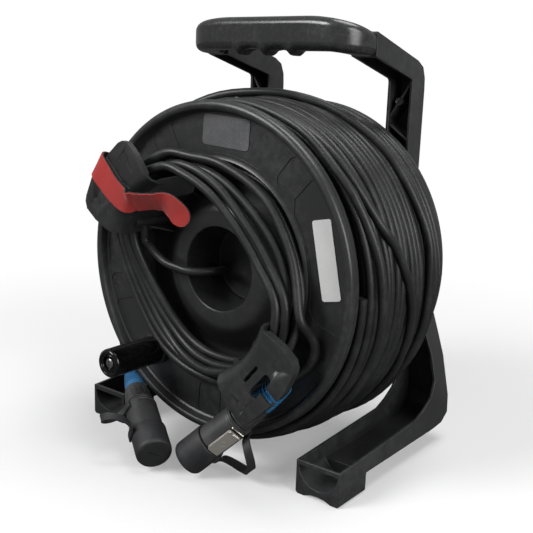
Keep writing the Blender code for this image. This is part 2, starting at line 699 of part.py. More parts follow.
def side_frame(name, side):
    """Foot, leg, upright and arm of one side: an open channel with a deep front foot."""
    plastic = material("frame_plastic", (0.035, 0.035, 0.037), 0.55)
    body = loft(name, side_sections(side, 0.0, 0.0), plastic)
    block_y = -FOOT_FRONT + FOOT_BLOCK
    centre = side * (FOOT_INNER + FOOT_OUTER) / 2
    width = FOOT_OUTER - FOOT_INNER
    arch = rounded_foot_outline(centre, width)
    block = prism(name + "_block", arch, -FOOT_FRONT, block_y, None)
    boolean(body, block, "UNION")
    pad_x = side * (REAR_PAD_INNER + REAR_PAD_OUTER) / 2
    half = (REAR_PAD_OUTER - REAR_PAD_INNER) / 2
    pad = prism(name + "_pad", [(pad_x - half, 0.0), (pad_x + half, 0.0),
                                (pad_x + half, CHANNEL_FLOOR + 0.001), (pad_x - half, CHANNEL_FLOOR + 0.001)],
                FRAME_BACK - 0.017 - REAR_PAD_LENGTH, FRAME_BACK - 0.018, None)
    boolean(body, pad, "UNION")
    hollow_rows = side_sections(side, WALL, 0.006)
    hollow_rows[0] = [Vector((point.x, -FOOT_FRONT + WALL, point.z)) for point in hollow_rows[0]]
    hollow_rows[-1] = [Vector((point.x, SEAM_Y + GAP + WALL, point.z)) for point in hollow_rows[-1]]
    boolean(body, loft(name + "_hollow", hollow_rows, None), "DIFFERENCE")
    mouth = prism(name + "_mouth", d_outline(centre), -FOOT_FRONT - 0.004, block_y - WALL, None)
    boolean(body, mouth, "DIFFERENCE")
    screw_round = polygon(GRIP_SCREW_RADIUS + GAP, TINY_ROUND)
    seam_hole = prism(name + "_seam_cutter", screw_round, -WALL - 0.004, 0.004,
                      None, grip_screw_place(side))
    boolean(body, seam_hole, "DIFFERENCE")
    for index, height in enumerate(FRAME_BOLT_HEIGHTS):
        place = along((side * UPRIGHT_INNER, (FRAME_FRONT + FRAME_BACK) / 2, AXIS_HEIGHT + height),
                      (1, 0, 0), (0, 0, 1))
        hole = prism(f"{name}_bolt_cutter_{index}", polygon(FRAME_BOLT_RADIUS + GAP, TINY_ROUND),
                     -0.005, 0.005, None, place)
        boolean(body, hole, "DIFFERENCE")
    return body


def rounded_foot_outline(centre, width):
    """The front block's outline, with a shallow arch between its two soles."""
    half = width / 2
    top = CHANNEL_FLOOR + 0.002
    low, high = centre - half, centre + half
    outline = [(low, top), (low, 0.002), (low + 0.002, 0.0), (low + 0.009, 0.0)]
    for i in range(5):
        angle = math.pi * (i + 0.5) / 5
        outline.append((centre - (half - 0.011) * math.cos(angle), 0.003 * math.sin(angle)))
    outline += [(high - 0.009, 0.0), (high - 0.002, 0.0), (high, 0.002), (high, top)]
    return outline


def d_outline(centre):
    """The D-shaped mouth in the foot's front, flat side up."""
    top = AXIS_HEIGHT - 0.1535
    radius = (FOOT_OUTER - FOOT_INNER) / 2 - WALL
    points = [(centre + radius, top)]
    for i in range(9):
        angle = math.pi * i / 8
        points.append((centre + radius * math.cos(angle), top - 0.001 - (top - 0.0095) * math.sin(angle)))
    points.append((centre - radius, top))
    return points


def frame_hub():
    """The cross plate between the uprights, ribbed round its edge, with two bosses."""
    plastic = material("frame_plastic", (0.035, 0.035, 0.037), 0.55)
    slope = (LEG_INNER - UPRIGHT_INNER) / (UPRIGHT_FOOT_Z - LEG_Z)
    low_x = UPRIGHT_INNER + (UPRIGHT_FOOT_Z - HUB_BOTTOM) * slope - GAP
    top_x = UPRIGHT_INNER - GAP
    outline = [(-top_x, HUB_TOP), (-top_x, UPRIGHT_FOOT_Z), (-low_x, HUB_BOTTOM),
               (low_x, HUB_BOTTOM), (top_x, UPRIGHT_FOOT_Z), (top_x, HUB_TOP)]
    plate = prism("frame_hub", outline, FRAME_FRONT, FRAME_BACK, plastic, drum_place())
    rim = 0.016
    wide, narrow = top_x - rim, low_x - rim
    high, low = HUB_TOP - 0.004, HUB_BOTTOM + 0.004
    pocket = [(-wide, high), (-wide, UPRIGHT_FOOT_Z), (-narrow, low),
              (narrow, low), (wide, UPRIGHT_FOOT_Z), (wide, high)]
    hollow = prism("hub_hollow", pocket, FRAME_FRONT + HUB_PLATE, FRAME_BACK + 0.005, None, drum_place())
    boolean(plate, hollow, "DIFFERENCE")
    boss = prism("hub_boss", polygon(HUB_BOSS_RADIUS, 24), FRAME_FRONT + 0.002, FRAME_BACK, None,
                 drum_place())
    boolean(plate, boss, "UNION")
    bore = prism("hub_bore", polygon(AXLE_RADIUS + GAP, SMALL_ROUND), FRAME_FRONT - 0.01, FRAME_BACK + 0.01,
                 None, drum_place())
    boolean(plate, bore, "DIFFERENCE")
    brake = drum_place(BRAKE_X, BRAKE_Z)
    boss = prism("brake_boss", polygon(BRAKE_BOSS_RADIUS, 16), FRAME_FRONT + 0.002, FRAME_BACK, None, brake)
    boolean(plate, boss, "UNION")
    bore = prism("brake_bore", polygon(BRAKE_SPINDLE_RADIUS + RUNNING, TINY_ROUND), FRAME_FRONT - 0.01,
                 FRAME_BACK + 0.01, None, brake)
    boolean(plate, bore, "DIFFERENCE")
    for side in (-1, 1):
        for index, height in enumerate(FRAME_BOLT_HEIGHTS):
            place = along((side * UPRIGHT_INNER, (FRAME_FRONT + FRAME_BACK) / 2, AXIS_HEIGHT + height),
                          (-side, 0, 0), (0, 0, 1))
            hole = prism(f"hub_bolt_cutter_{side}_{index}", polygon(FRAME_BOLT_RADIUS + GAP, TINY_ROUND),
                         -0.004, FRAME_BOLT_LENGTH, None, place)
            boolean(plate, hole, "DIFFERENCE")
    return plate


def frame_bolts():
    """Four bolts through the uprights' inner walls into the cross plate."""
    steel = material("zinc_steel", **STEEL)
    seat = -(WALL + GAP)
    for side, word in ((-1, "left"), (1, "right")):
        for index, height in enumerate(FRAME_BOLT_HEIGHTS):
            place = along((side * UPRIGHT_INNER, (FRAME_FRONT + FRAME_BACK) / 2, AXIS_HEIGHT + height),
                          (-side, 0, 0), (0, 0, 1))
            profile = [
                (0.0, seat - FRAME_BOLT_HEAD), (FRAME_BOLT_HEAD_RADIUS, seat - FRAME_BOLT_HEAD),
                (FRAME_BOLT_HEAD_RADIUS, seat), (FRAME_BOLT_RADIUS, seat),
                (FRAME_BOLT_RADIUS, FRAME_BOLT_LENGTH - 0.001), (0.0, FRAME_BOLT_LENGTH - 0.001),
            ]
            turned(f"frame_bolt_{word}_{index + 1}", profile, steel, place, TINY_ROUND)


def grip_section(centre, across, low, high, depth, drop=0.0):
    """A soft-cornered grip section: across points outward, drop lowers the belly."""
    half = depth / 2
    cut = 0.007
    points = [(-half, low + cut), (-half + cut, low - drop), (half - cut, low - drop), (half, low + cut),
              (half, high - cut), (half - cut, high), (-half + cut, high), (-half, high - cut)]
    section = []
    for offset, height in points:
        spot = centre + across * offset
        section.append(Vector((spot.x, spot.y, AXIS_HEIGHT + height)))
    return section


def handle_grip():
    """The carrying grip: a bar across the drum with corners that turn back to the arms."""
    gloss = material("gloss_plastic", (0.020, 0.020, 0.021), 0.16)
    width = UPRIGHT_OUTER - UPRIGHT_INNER
    arm_x = (UPRIGHT_OUTER + UPRIGHT_INNER) / 2
    bar_y = GRIP_FRONT + GRIP_DEPTH / 2
    radius = 0.020
    low, high = GRIP_TOP - GRIP_HEIGHT, GRIP_TOP
    sections = []
    half_row = [(Vector((arm_x, SEAM_Y - GAP, 0)), Vector((1, 0, 0)), SEAM_BOTTOM, SEAM_TOP, width, 0.0)]
    for i in range(6):
        angle = math.radians(90 * i / 5)
        centre = Vector((arm_x - radius, bar_y + radius, 0))
        out = Vector((math.cos(angle), -math.sin(angle), 0))
        part = (i + 1) / 6
        half_row.append((centre + out * radius, out, SEAM_BOTTOM + (low - SEAM_BOTTOM) * part,
                         SEAM_TOP + (high - SEAM_TOP) * part, width + (GRIP_DEPTH - width) * part, 0.0))
    for x, drop in ((1.5, 0.0), (1.16, 0.0), (1.0, 1.0), (0.84, 0.0), (0.5, -0.25), (0.16, 0.0), (0.0, 1.0)):
        spot = Vector((x * LOBE_PITCH, bar_y, 0))
        half_row.append((spot, Vector((0, -1, 0)), low, high, GRIP_DEPTH, drop * LOBE_DROP))
    for row in half_row:
        sections.append(grip_section(*row))
    mirror = Matrix.Diagonal((-1, 1, 1))
    other = [[mirror @ point for point in section] for section in reversed(sections[:-1])]
    grip = loft("handle_grip", sections + other, gloss)
    for side in (-1, 1):
        screw_round = polygon(GRIP_SCREW_RADIUS + GAP, TINY_ROUND)
        bore = prism(f"grip_bore_{side}", screw_round, -GRIP_SCREW_LENGTH / 2,
                     GRIP_SCREW_LENGTH + 0.001, None, grip_screw_place(side))
        boolean(grip, bore, "DIFFERENCE")
    return grip


def grip_screw_place(side):
    """Where a grip screw sits: its line runs forward through the seam."""
    x = side * (UPRIGHT_INNER + UPRIGHT_OUTER) / 2
    height = AXIS_HEIGHT + (SEAM_BOTTOM + SEAM_TOP) / 2
    return along((x, SEAM_Y, height), (0, -1, 0), (0, 0, 1))


def brake():
    """Friction brake: a star knob on a threaded spindle that presses a pad on the drum."""
    plastic = material("gloss_plastic", (0.020, 0.020, 0.021), 0.16)
    place = drum_place(BRAKE_X, BRAKE_Z)
    face = WEB_HALF_WIDTH + WEB
    pad_back = face + GAP + BRAKE_PAD
    turned("brake_pad", [(0.0, face + GAP), (BRAKE_PAD_RADIUS, face + GAP), (BRAKE_PAD_RADIUS, pad_back),
                         (0.0, pad_back)], material("dark_rubber", **DARK_RUBBER), place, SMALL_ROUND)
    tip = pad_back + GAP
    knob_front = FRAME_BACK + 0.0015
    knob_back = knob_front + BRAKE_KNOB_HEIGHT
    star = []
    for i in range(BRAKE_LOBES * 4):
        angle = 2 * math.pi * i / (BRAKE_LOBES * 4)
        radius = BRAKE_KNOB_RADIUS - 0.0022 * (1 - math.cos(BRAKE_LOBES * angle))
        star.append((radius * math.cos(angle), radius * math.sin(angle)))
    knob = prism("brake_knob", star, knob_front, knob_back, plastic, place)
    shaft = polygon(BRAKE_SPINDLE_RADIUS, TINY_ROUND)
    spindle = prism("brake_spindle", shaft, tip, knob_front + 0.004, None, place)
    boolean(knob, spindle, "UNION")


# Connector lines: the middle of the cap's end, and the way from boot to cap
OUTER_PLUG_END = Vector((-0.0077, -0.1419, AXIS_HEIGHT - 0.1625))
OUTER_PLUG_LINE = Vector((0.803, -0.511, -0.306)).normalized()
OUTER_PLUG_LATCH = Vector((-0.50, -0.31, -0.81))
OUTER_PLUG_LOOP = Vector((-0.540, -0.842, -0.012))
INNER_PLUG_END = Vector((0.0129, -0.1210, AXIS_HEIGHT - 0.1677))
INNER_PLUG_LINE = Vector((-0.656, -0.3185, -0.684)).normalized()
INNER_PLUG_LATCH = Vector((0.635, -0.722, -0.272))
INNER_PLUG_LOOP = Vector((0.676, 0.154, -0.720))


def plug_place(end, line, up):
    return along(end - line * PLUG_LENGTH, line, up)


def connector(word, end, line, up):
    """A round connector: boot, nut, body, latch and rubber cap, from the cable outward."""
    place = plug_place(end, line, up)
    shell = material("connector_shell", (0.045, 0.045, 0.048), 0.45)
    blue = material("boot_blue", (0.03, 0.17, 0.42), 0.5)
    rubber = material("dark_rubber", **DARK_RUBBER)
    nickel = material("latch_nickel", (0.72, 0.69, 0.64), 0.3, 1.0)
    bore = CABLE / 2 + 2 * GAP
    boot_end = BOOT_LENGTH
    nut_end = boot_end + NUT_LENGTH
    body_end = nut_end + BODY_LENGTH
    boot = [(bore, 0.0), (BOOT_TIP_RADIUS - 0.0008, 0.0), (BOOT_TIP_RADIUS, 0.001)]
    for i in range(BOOT_RIBS):
        pitch = (BOOT_LENGTH - 2 * BOOT_PLAIN) / BOOT_RIBS
        start = BOOT_PLAIN + i * pitch
        swell = BOOT_TIP_RADIUS + (BOOT_RADIUS - BOOT_TIP_RADIUS) * (i + 1) / BOOT_RIBS
        boot += [(swell - BOOT_GROOVE, start), (swell, start + pitch * 0.3), (swell, start + pitch * 0.75)]
    boot += [(BOOT_RADIUS, boot_end - GAP), (bore, boot_end - GAP)]
    turned(f"{word}_boot", boot, blue, place, SMALL_ROUND)
    nut = [
        (bore + 0.001, boot_end), (BOOT_RADIUS + 0.0004, boot_end),
        (PLUG_NUT_RADIUS - 0.0004, boot_end + 0.003), (PLUG_NUT_RADIUS, boot_end + 0.006),
        (PLUG_NUT_RADIUS, nut_end - 0.002), (PLUG_NUT_RADIUS - 0.001, nut_end - GAP),
        (bore + 0.001, nut_end - GAP),
    ]
    turned(f"{word}_nut", nut, shell, place, SMALL_ROUND)
    body = [
        (bore + 0.001, nut_end), (BODY_RADIUS - 0.0006, nut_end), (BODY_RADIUS, nut_end + 0.001),
        (BODY_RADIUS, body_end - CAP_LAP), (NOSE_RADIUS, body_end - CAP_LAP),
        (NOSE_RADIUS, PLUG_LENGTH - 0.007),
        (NOSE_RADIUS - 0.0015, PLUG_LENGTH - 0.007), (NOSE_RADIUS - 0.0015, body_end + 0.006),
        (bore + 0.001, body_end + 0.006),
    ]
    turned(f"{word}_body", body, shell, place, SMALL_ROUND)
    insert_round = bore + 0.001 - GAP
    insert = [(0.0, body_end - 0.004), (insert_round, body_end - 0.004), (insert_round, body_end + 0.0064),
              (NOSE_RADIUS - 0.0015 - GAP, body_end + 0.0064), (NOSE_RADIUS - 0.0015 - GAP, body_end + 0.016),
              (0.0, body_end + 0.016)]
    insert_grey = material("insert_grey", (0.25, 0.25, 0.26), 0.35)
    turned(f"{word}_fibre_insert", insert, insert_grey, place, SMALL_ROUND)
    cap_start = body_end - CAP_LAP + GAP
    cap_inner = NOSE_RADIUS + GAP
    cap = [
        (0.0, PLUG_LENGTH - CAP_WALL), (cap_inner, PLUG_LENGTH - CAP_WALL), (cap_inner, cap_start),
        (CAP_RADIUS - 0.0006, cap_start), (CAP_RADIUS, cap_start + 0.001), (CAP_RADIUS, PLUG_LENGTH - 0.003),
        (CAP_RADIUS - 0.003, PLUG_LENGTH), (0.0, PLUG_LENGTH),
    ]
    turned(f"{word}_cap", cap, rubber, place, 24)
    latch_start = nut_end + 0.0065
    latch_outline = [(-LATCH_WIDTH / 2, BODY_RADIUS * 0.93), (LATCH_WIDTH / 2, BODY_RADIUS * 0.93),
                     (LATCH_WIDTH / 2, BODY_RADIUS + LATCH_HEIGHT - 0.001),
                     (LATCH_WIDTH / 2 - 0.001, BODY_RADIUS + LATCH_HEIGHT),
                     (-LATCH_WIDTH / 2 + 0.001, BODY_RADIUS + LATCH_HEIGHT),
                     (-LATCH_WIDTH / 2, BODY_RADIUS + LATCH_HEIGHT - 0.001)]
    lift = BODY_RADIUS * 0.07 + GAP
    latch_outline = [(x, z + lift) for x, z in latch_outline]
    prism(f"{word}_latch", latch_outline, latch_start, cap_start - RUNNING, nickel, place)


# Free leads: route points chosen by hand
OUTER_LEAD_POINTS = (       # degrees round the drum, radius, y
    (-178.0, 0.1691, -0.0500),
    (-169.0, 0.1692, -0.0503),
    (-160.0, 0.1694, -0.0520),
    (-151.0, 0.1696, -0.0565),
    (-142.0, 0.1690, -0.0640),
    (-135.0, 0.1680, -0.0715),
)
INNER_LEAD_START_POINTS = (     # x, y and z from the drum's line
    (-0.0380, -0.0345, -0.0154),
    (-0.0325, -0.0345, -0.0131),
    (-0.0283, -0.0347, -0.0114),
    (-0.0190, -0.0380, -0.0085),
    (-0.0130, -0.0475, -0.0065),
    (-0.0145, -0.0585, -0.0060),
    (-0.0220, -0.0685, -0.0060),
    (-0.0330, -0.0747, -0.0060),
    (-0.0450, -0.0768, -0.0040),
    (-0.0580, -0.0775, -0.0020),
    (-0.0700, -0.0778, 0.0040),
    (-0.0785, -0.0790, 0.0115),
    (-0.0840, -0.0805, 0.0182),
)
INNER_LEAD_END_POINTS = (
    (0.1122, -0.0925, -0.0190),
    (0.1165, -0.0840, -0.0330),
    (0.1198, -0.0778, -0.0480),
    (0.1140, -0.0778, -0.0640),
)


BOOT_ENTRY = (-0.008, -0.001, 0.005, 0.011)      # along the plug's line, from the boot's tip


def drum_points(points):
    return [Vector((x, y, AXIS_HEIGHT + z)) for x, y, z in points]


def lead_coil():
    """The inner lead wound round both brackets, as one oval ring."""
    steps = 40
    sections = []
    for i in range(steps):
        angle = 360.0 * i / steps
        lean = 0.5 + 0.5 * math.cos(math.radians(2 * (angle - BRACKET_ANGLES[0])))
        middle = COIL_NARROW + (COIL_WIDE - COIL_NARROW) * lean
        depth = -COIL_BACK_DEPTH - (COIL_FRONT_DEPTH - COIL_BACK_DEPTH) * lean
        section = []
        for dr, dy in rounded(rectangle(COIL_WIDTH, COIL_HEIGHT), CABLE / 2, 1):
            x, z = polar(middle + dr, angle)
            section.append(Vector((x, depth + dy, AXIS_HEIGHT + z)))
        sections.append(section)
    return loft("inner_lead_coil", sections, material("cable_jacket", **DARK_RUBBER), closed=True)


def leads():
    """The straight stretches of both free leads."""
    jacket = material("cable_jacket", **DARK_RUBBER)
    boot_tip = OUTER_PLUG_END - OUTER_PLUG_LINE * PLUG_LENGTH
    outer = []
    for angle, radius, y in OUTER_LEAD_POINTS:
        x, z = polar(radius, angle)
        outer.append(Vector((x, y, AXIS_HEIGHT + z)))
    outer += [boot_tip + OUTER_PLUG_LINE * reach for reach in BOOT_ENTRY]
    tube("outer_lead", smooth_route(outer, 0.009), CABLE / 2, jacket)
    tube("inner_lead_start", smooth_route(drum_points(INNER_LEAD_START_POINTS), 0.009), CABLE / 2, jacket)
    boot_tip = INNER_PLUG_END - INNER_PLUG_LINE * PLUG_LENGTH
    inner = drum_points(INNER_LEAD_END_POINTS)
    inner += [boot_tip + INNER_PLUG_LINE * reach for reach in BOOT_ENTRY]
    tube("inner_lead_end", smooth_route(inner, 0.009), CABLE / 2, jacket)


def labels():
    """Two thin plates on the front flange: a grey one at the top, a white one at the right."""
    back = -(WEB_HALF_WIDTH + WEB) - GAP
    grey = material("label_grey", (0.11, 0.11, 0.115), 0.45)
    white = material("label_white", (0.75, 0.75, 0.74), 0.4)
    for name, size, middle, surface in (
            ("label_plate", (PLATE_WIDTH, PLATE_HEIGHT), PLATE_MIDDLE, grey),
            ("label_card", (LABEL_WIDTH, LABEL_HEIGHT), CARD_MIDDLE, white)):
        turn = Matrix.Rotation(math.radians(middle[2]), 4, "Y")
        place = drum_place(middle[0], middle[1]) @ turn
        card = prism(name, rounded(rectangle(*size), LABEL_CORNER, 3), back - LABEL, back, surface, place)
        disc = polygon(FLANGE_RADIUS - RIM_WIDTH - 0.002, ROUND)
        panel = prism(name + "_panel", disc, back - 0.01, back + 0.01,
                      None, drum_place())
        boolean(card, panel, "INTERSECT")


def ribbon(name, stations, thickness, surface):
    """A flat band through stations of (point, width direction, width)."""
    points = [station[0] for station in stations]
    sections = []
    for i, (point, across, width) in enumerate(stations):
        ahead = points[min(i + 1, len(points) - 1)] - points[max(i - 1, 0)]
        across = (across - ahead * across.dot(ahead) / ahead.length_squared).normalized()
        normal = ahead.cross(across).normalized()
        side, rise = across * width / 2, normal * thickness / 2
        sections.append([point - side - rise, point + side - rise, point + side + rise, point - side + rise])
    return loft(name, sections, surface)


def straps():
    """The red strap over bracket A with its free tongue, and its dark inner layer."""
    angle = BRACKET_ANGLES[0]
    tangent = Vector((math.sin(math.radians(angle)), 0.0, -math.cos(math.radians(angle))))
    rest = BRACKET_FRONT + GAP + STRAP / 2
    edge = BRACKET_EDGE + GAP + STRAP / 2
    stations = []
    for radius, y in ((edge, -BRACKET_FRONT + 0.012), (edge, -BRACKET_FRONT + 0.002), (edge, -rest),
                      (edge - 0.003, -rest), (0.1200, -rest), (0.1010, -rest)):
        x, z = polar(radius, angle)
        stations.append((Vector((x, y, AXIS_HEIGHT + z)), tangent, STRAP_WIDTH))
    for point, across, width in STRAP_TONGUE:
        x, y, z = point
        stations.append((Vector((x, y, AXIS_HEIGHT + z)), Vector(across), width))
    ribbon("strap", stations, STRAP, material("strap_red", (0.62, 0.045, 0.035), 0.8))
    loop = [(Vector((x, y, AXIS_HEIGHT + z)), Vector((0.25, 0.0, 0.97)), STRAP_WIDTH * 0.8)
            for x, y, z in STRAP_LOOP]
    ribbon("strap_loop", loop, STRAP, material("strap_black", (0.012, 0.012, 0.012), 0.9))


# The strap's free tongue: point in the drum, width direction, width
STRAP_TONGUE = (
    ((-0.0680, -0.1207, 0.0600), (0.62, 0.02, 0.78), 0.0250),
    ((-0.0540, -0.1200, 0.0595), (0.50, 0.30, 0.80), 0.0240),
    ((-0.0410, -0.1150, 0.0580), (0.35, 0.80, 0.50), 0.0230),
    ((-0.0280, -0.1090, 0.0545), (0.45, 0.75, 0.50), 0.0230),
    ((-0.0180, -0.1065, 0.0475), (0.65, 0.35, 0.67), 0.0230),
    ((-0.0110, -0.1060, 0.0405), (0.70, 0.10, 0.70), 0.0180),
    ((-0.0085, -0.1060, 0.0375), (0.70, 0.10, 0.70), 0.0080),
)
STRAP_LOOP = (
    (-0.0560, -0.1124, 0.0560), (-0.0470, -0.1054, 0.0620), (-0.0340, -0.0995, 0.0680),
    (-0.0200, -0.0965, 0.0730), (-0.0060, -0.0955, 0.0758),
)


def lanyard(word, end, line, up, loop):
    """The flat rubber loop that ties a cap to its connector."""
    start = end - line * PLUG_LENGTH
    out = (loop - line * loop.dot(line)).normalized()
    across = line.cross(out)
    nut_end = BOOT_LENGTH + NUT_LENGTH
    seat = BODY_RADIUS + GAP + LANYARD / 2
    cap_seat = CAP_RADIUS + GAP + LANYARD / 2
    stations = []
    for along_axis, reach in ((nut_end + 0.0045, seat), (nut_end + 0.0010, seat + 0.0060),
                              (nut_end + 0.0010, seat + 0.0130), (nut_end + 0.0080, seat + 0.0190),
                              (nut_end + 0.0180, seat + 0.0200), (nut_end + 0.0280, seat + 0.0160),
                              (nut_end + 0.0350, seat + 0.0090), (nut_end + 0.0415, cap_seat)):
        stations.append((start + line * along_axis + out * reach, across, LANYARD_WIDTH))
    ribbon(f"{word}_lanyard", stations, LANYARD, material("dark_rubber", **DARK_RUBBER))


def grip_screws():
    """Two screws from below that hold the grip to the frame's arms."""
    steel = material("zinc_steel", **STEEL)
    for side, word in ((-1, "left"), (1, "right")):
        start = -GAP - WALL - GAP
        profile = [
            (0.0, start - GRIP_SCREW_HEAD), (GRIP_SCREW_HEAD_RADIUS, start - GRIP_SCREW_HEAD),
            (GRIP_SCREW_HEAD_RADIUS, start), (GRIP_SCREW_RADIUS, start),
            (GRIP_SCREW_RADIUS, GRIP_SCREW_LENGTH), (0.0, GRIP_SCREW_LENGTH),
        ]
        turned(f"grip_screw_{word}", profile, steel, grip_screw_place(side), TINY_ROUND)


def hang(empty_name, location, names, parent=None):
    """Parent pieces to an empty on their joint's axis, where they are."""
    pivot = bpy.data.objects.new(empty_name, None)
    bpy.context.collection.objects.link(pivot)
    pivot.location = location
    if parent is not None:
        pivot.parent = parent
        pivot.location = Vector(location) - parent.location
    place = Matrix.Translation(Vector(location))
    for name in names:
        piece = bpy.data.objects[name]
        piece.parent = pivot
        piece.matrix_parent_inverse = place.inverted()
    return pivot


def joints():
    """Group the moving pieces under empties on their axes."""
    drum = hang("drum_axis", (0.0, 0.0, AXIS_HEIGHT), DRUM_PIECES)
    hang("knob_axis", (KNOB_X, -WEB_HALF_WIDTH, AXIS_HEIGHT + KNOB_Z), ["knob_sleeve"], drum)
    hang("brake_axis", (BRAKE_X, FRAME_BACK, AXIS_HEIGHT + BRAKE_Z), ["brake_knob"])
    for word, end in (("outer_plug", OUTER_PLUG_END), ("inner_plug", INNER_PLUG_END)):
        hang(f"{word}_line", end, [f"{word}_cap", f"{word}_latch"], drum)


DRUM_PIECES = (
    "front_flange", "rear_flange", "core_barrel", "hub_dish", "hub_cup", "port_grommet",
    "bracket_a", "bracket_b",
    "bracket_a_screw_1", "bracket_a_screw_2", "bracket_b_screw_1", "bracket_b_screw_2", "cable_winding",
    "front_bush", "rear_bush", "knob_spindle", "knob_screw", "label_plate", "label_card", "strap",
    "strap_loop",
    "inner_lead_coil", "inner_lead_start", "inner_lead_end", "outer_lead",
    "outer_plug_boot", "outer_plug_nut", "outer_plug_body", "outer_plug_fibre_insert", "outer_plug_lanyard",
    "inner_plug_boot", "inner_plug_nut", "inner_plug_body", "inner_plug_fibre_insert", "inner_plug_lanyard",
)


clear_scene()
flange("front_flange", -1)
flange("rear_flange", 1)
core_barrel()
hub_dish()
hub_cup()
port_grommet()
bracket("bracket_a", BRACKET_ANGLES[0])
bracket("bracket_b", BRACKET_ANGLES[1])
bracket_screws()
winding_ring()
shaft()
winding_knob()
side_frame("left_side_frame", -1)
side_frame("right_side_frame", 1)
frame_hub()
frame_bolts()
handle_grip()
brake()
connector("outer_plug", OUTER_PLUG_END, OUTER_PLUG_LINE, OUTER_PLUG_LATCH)
connector("inner_plug", INNER_PLUG_END, INNER_PLUG_LINE, INNER_PLUG_LATCH)
lanyard("outer_plug", OUTER_PLUG_END, OUTER_PLUG_LINE, OUTER_PLUG_LATCH, OUTER_PLUG_LOOP)
lanyard("inner_plug", INNER_PLUG_END, INNER_PLUG_LINE, INNER_PLUG_LATCH, INNER_PLUG_LOOP)
lead_coil()
leads()
labels()
straps()
grip_screws()
joints()
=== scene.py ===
import math

import bpy
import numpy as np
from mathutils import Matrix, Vector
from mathutils.noise import noise


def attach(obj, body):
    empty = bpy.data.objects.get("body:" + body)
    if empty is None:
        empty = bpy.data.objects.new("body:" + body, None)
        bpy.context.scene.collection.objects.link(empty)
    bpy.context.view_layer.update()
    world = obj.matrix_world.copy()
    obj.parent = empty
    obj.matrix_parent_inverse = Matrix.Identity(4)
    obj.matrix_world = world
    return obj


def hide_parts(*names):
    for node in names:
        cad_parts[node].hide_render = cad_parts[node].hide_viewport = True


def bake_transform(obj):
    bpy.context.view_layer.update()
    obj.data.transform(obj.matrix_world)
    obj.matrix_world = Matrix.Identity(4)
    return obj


# The looks of a fibre optic cable reel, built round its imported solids. Metres, +Z up.
# The drum turns about a line parallel to Y at AXIS_HEIGHT, and its front looks along -Y.
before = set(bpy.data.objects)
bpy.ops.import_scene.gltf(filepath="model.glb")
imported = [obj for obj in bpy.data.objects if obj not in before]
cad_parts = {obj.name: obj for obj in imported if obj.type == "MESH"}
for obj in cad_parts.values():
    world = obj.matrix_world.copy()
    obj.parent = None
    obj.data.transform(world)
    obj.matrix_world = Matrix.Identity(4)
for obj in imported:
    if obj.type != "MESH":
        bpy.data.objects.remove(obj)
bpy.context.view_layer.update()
bpy.ops.object.select_all(action="DESELECT")
bpy.context.scene.view_settings.view_transform = "Standard"

# The camera stands where the photograph was taken from: to the right of the front and
# a little above, with the long lens of a small studio. It looks along SIGHT.
AXIS_HEIGHT = 0.181
CAMERA_PLACE = (0.49925, -0.64366, 0.17749 + AXIS_HEIGHT)
SIGHT = Vector((-0.59463, 0.77275, -0.22198))
PICTURE_UP = Vector((-0.16284, 0.15462, 0.97446))

camera = bpy.data.objects.new("camera", bpy.data.cameras.new("camera"))
bpy.context.scene.collection.objects.link(camera)
bpy.context.scene.camera = camera
camera.data.sensor_width = 36.0
camera.data.lens = 56.74
picture_right = SIGHT.cross(PICTURE_UP).normalized()
picture_up = picture_right.cross(SIGHT).normalized()
turn = Matrix((picture_right, picture_up, -SIGHT.normalized())).transposed()
camera.matrix_world = Matrix.Translation(CAMERA_PLACE) @ turn.to_4x4()

# The floor is a pale studio table, and the world is white only where the camera or a
# reflection looks straight at it, so that it doesn't flood the black plastics.
FLOOR_COLOUR = (0.87, 0.87, 0.87, 1.0)
FLOOR_SIZE = 6.0
FLOOR_BOUNCE = (0.16, 0.16, 0.16, 1.0)
FADE_START = 0.25
FADE_END = 0.85
WORLD_STRENGTH = 0.09
REFLECTED_STRENGTH = 0.36


def new_material(name):
    made = bpy.data.materials.new(name)
    made.use_nodes = True
    return made, made.node_tree.nodes["Principled BSDF"]


def add_node(made, kind, settings=(), **inputs):
    node = made.node_tree.nodes.new(kind)
    for name, value in dict(settings).items():
        setattr(node, name, value)
    for name, value in inputs.items():
        node.inputs[name.replace("_", " ")].default_value = value
    return node


def join(made, out, into):
    made.node_tree.links.new(out, into)


bpy.ops.mesh.primitive_plane_add(size=FLOOR_SIZE, location=(0, 0, 0))
floor = bpy.context.object
floor.name = "floor"
floor_finish, shader = new_material("floor_finish")
shader.inputs["Base Color"].default_value = FLOOR_COLOUR
shader.inputs["Roughness"].default_value = 0.9
far = add_node(floor_finish, "ShaderNodeTexCoord")
reach = add_node(floor_finish, "ShaderNodeVectorMath", {"operation": "LENGTH"})
fade = add_node(floor_finish, "ShaderNodeMapRange", {"interpolation_type": "SMOOTHSTEP"})
fade.inputs["From Min"].default_value = FADE_START
fade.inputs["From Max"].default_value = FADE_END
fade.inputs["To Min"].default_value = 0.30
white = add_node(floor_finish, "ShaderNodeEmission")
near = add_node(floor_finish, "ShaderNodeMixShader")
dark = add_node(floor_finish, "ShaderNodeBsdfDiffuse", Color=FLOOR_BOUNCE)
looked_at = add_node(floor_finish, "ShaderNodeLightPath")
either = add_node(floor_finish, "ShaderNodeMixShader")
join(floor_finish, far.outputs["Object"], reach.inputs[0])
join(floor_finish, reach.outputs["Value"], fade.inputs["Value"])
join(floor_finish, fade.outputs["Result"], near.inputs[0])
join(floor_finish, shader.outputs[0], near.inputs[1])
join(floor_finish, white.outputs[0], near.inputs[2])
join(floor_finish, looked_at.outputs["Is Camera Ray"], either.inputs[0])
join(floor_finish, dark.outputs[0], either.inputs[1])
join(floor_finish, near.outputs[0], either.inputs[2])
join(floor_finish, either.outputs[0], floor_finish.node_tree.nodes["Material Output"].inputs["Surface"])
floor.data.materials.append(floor_finish)

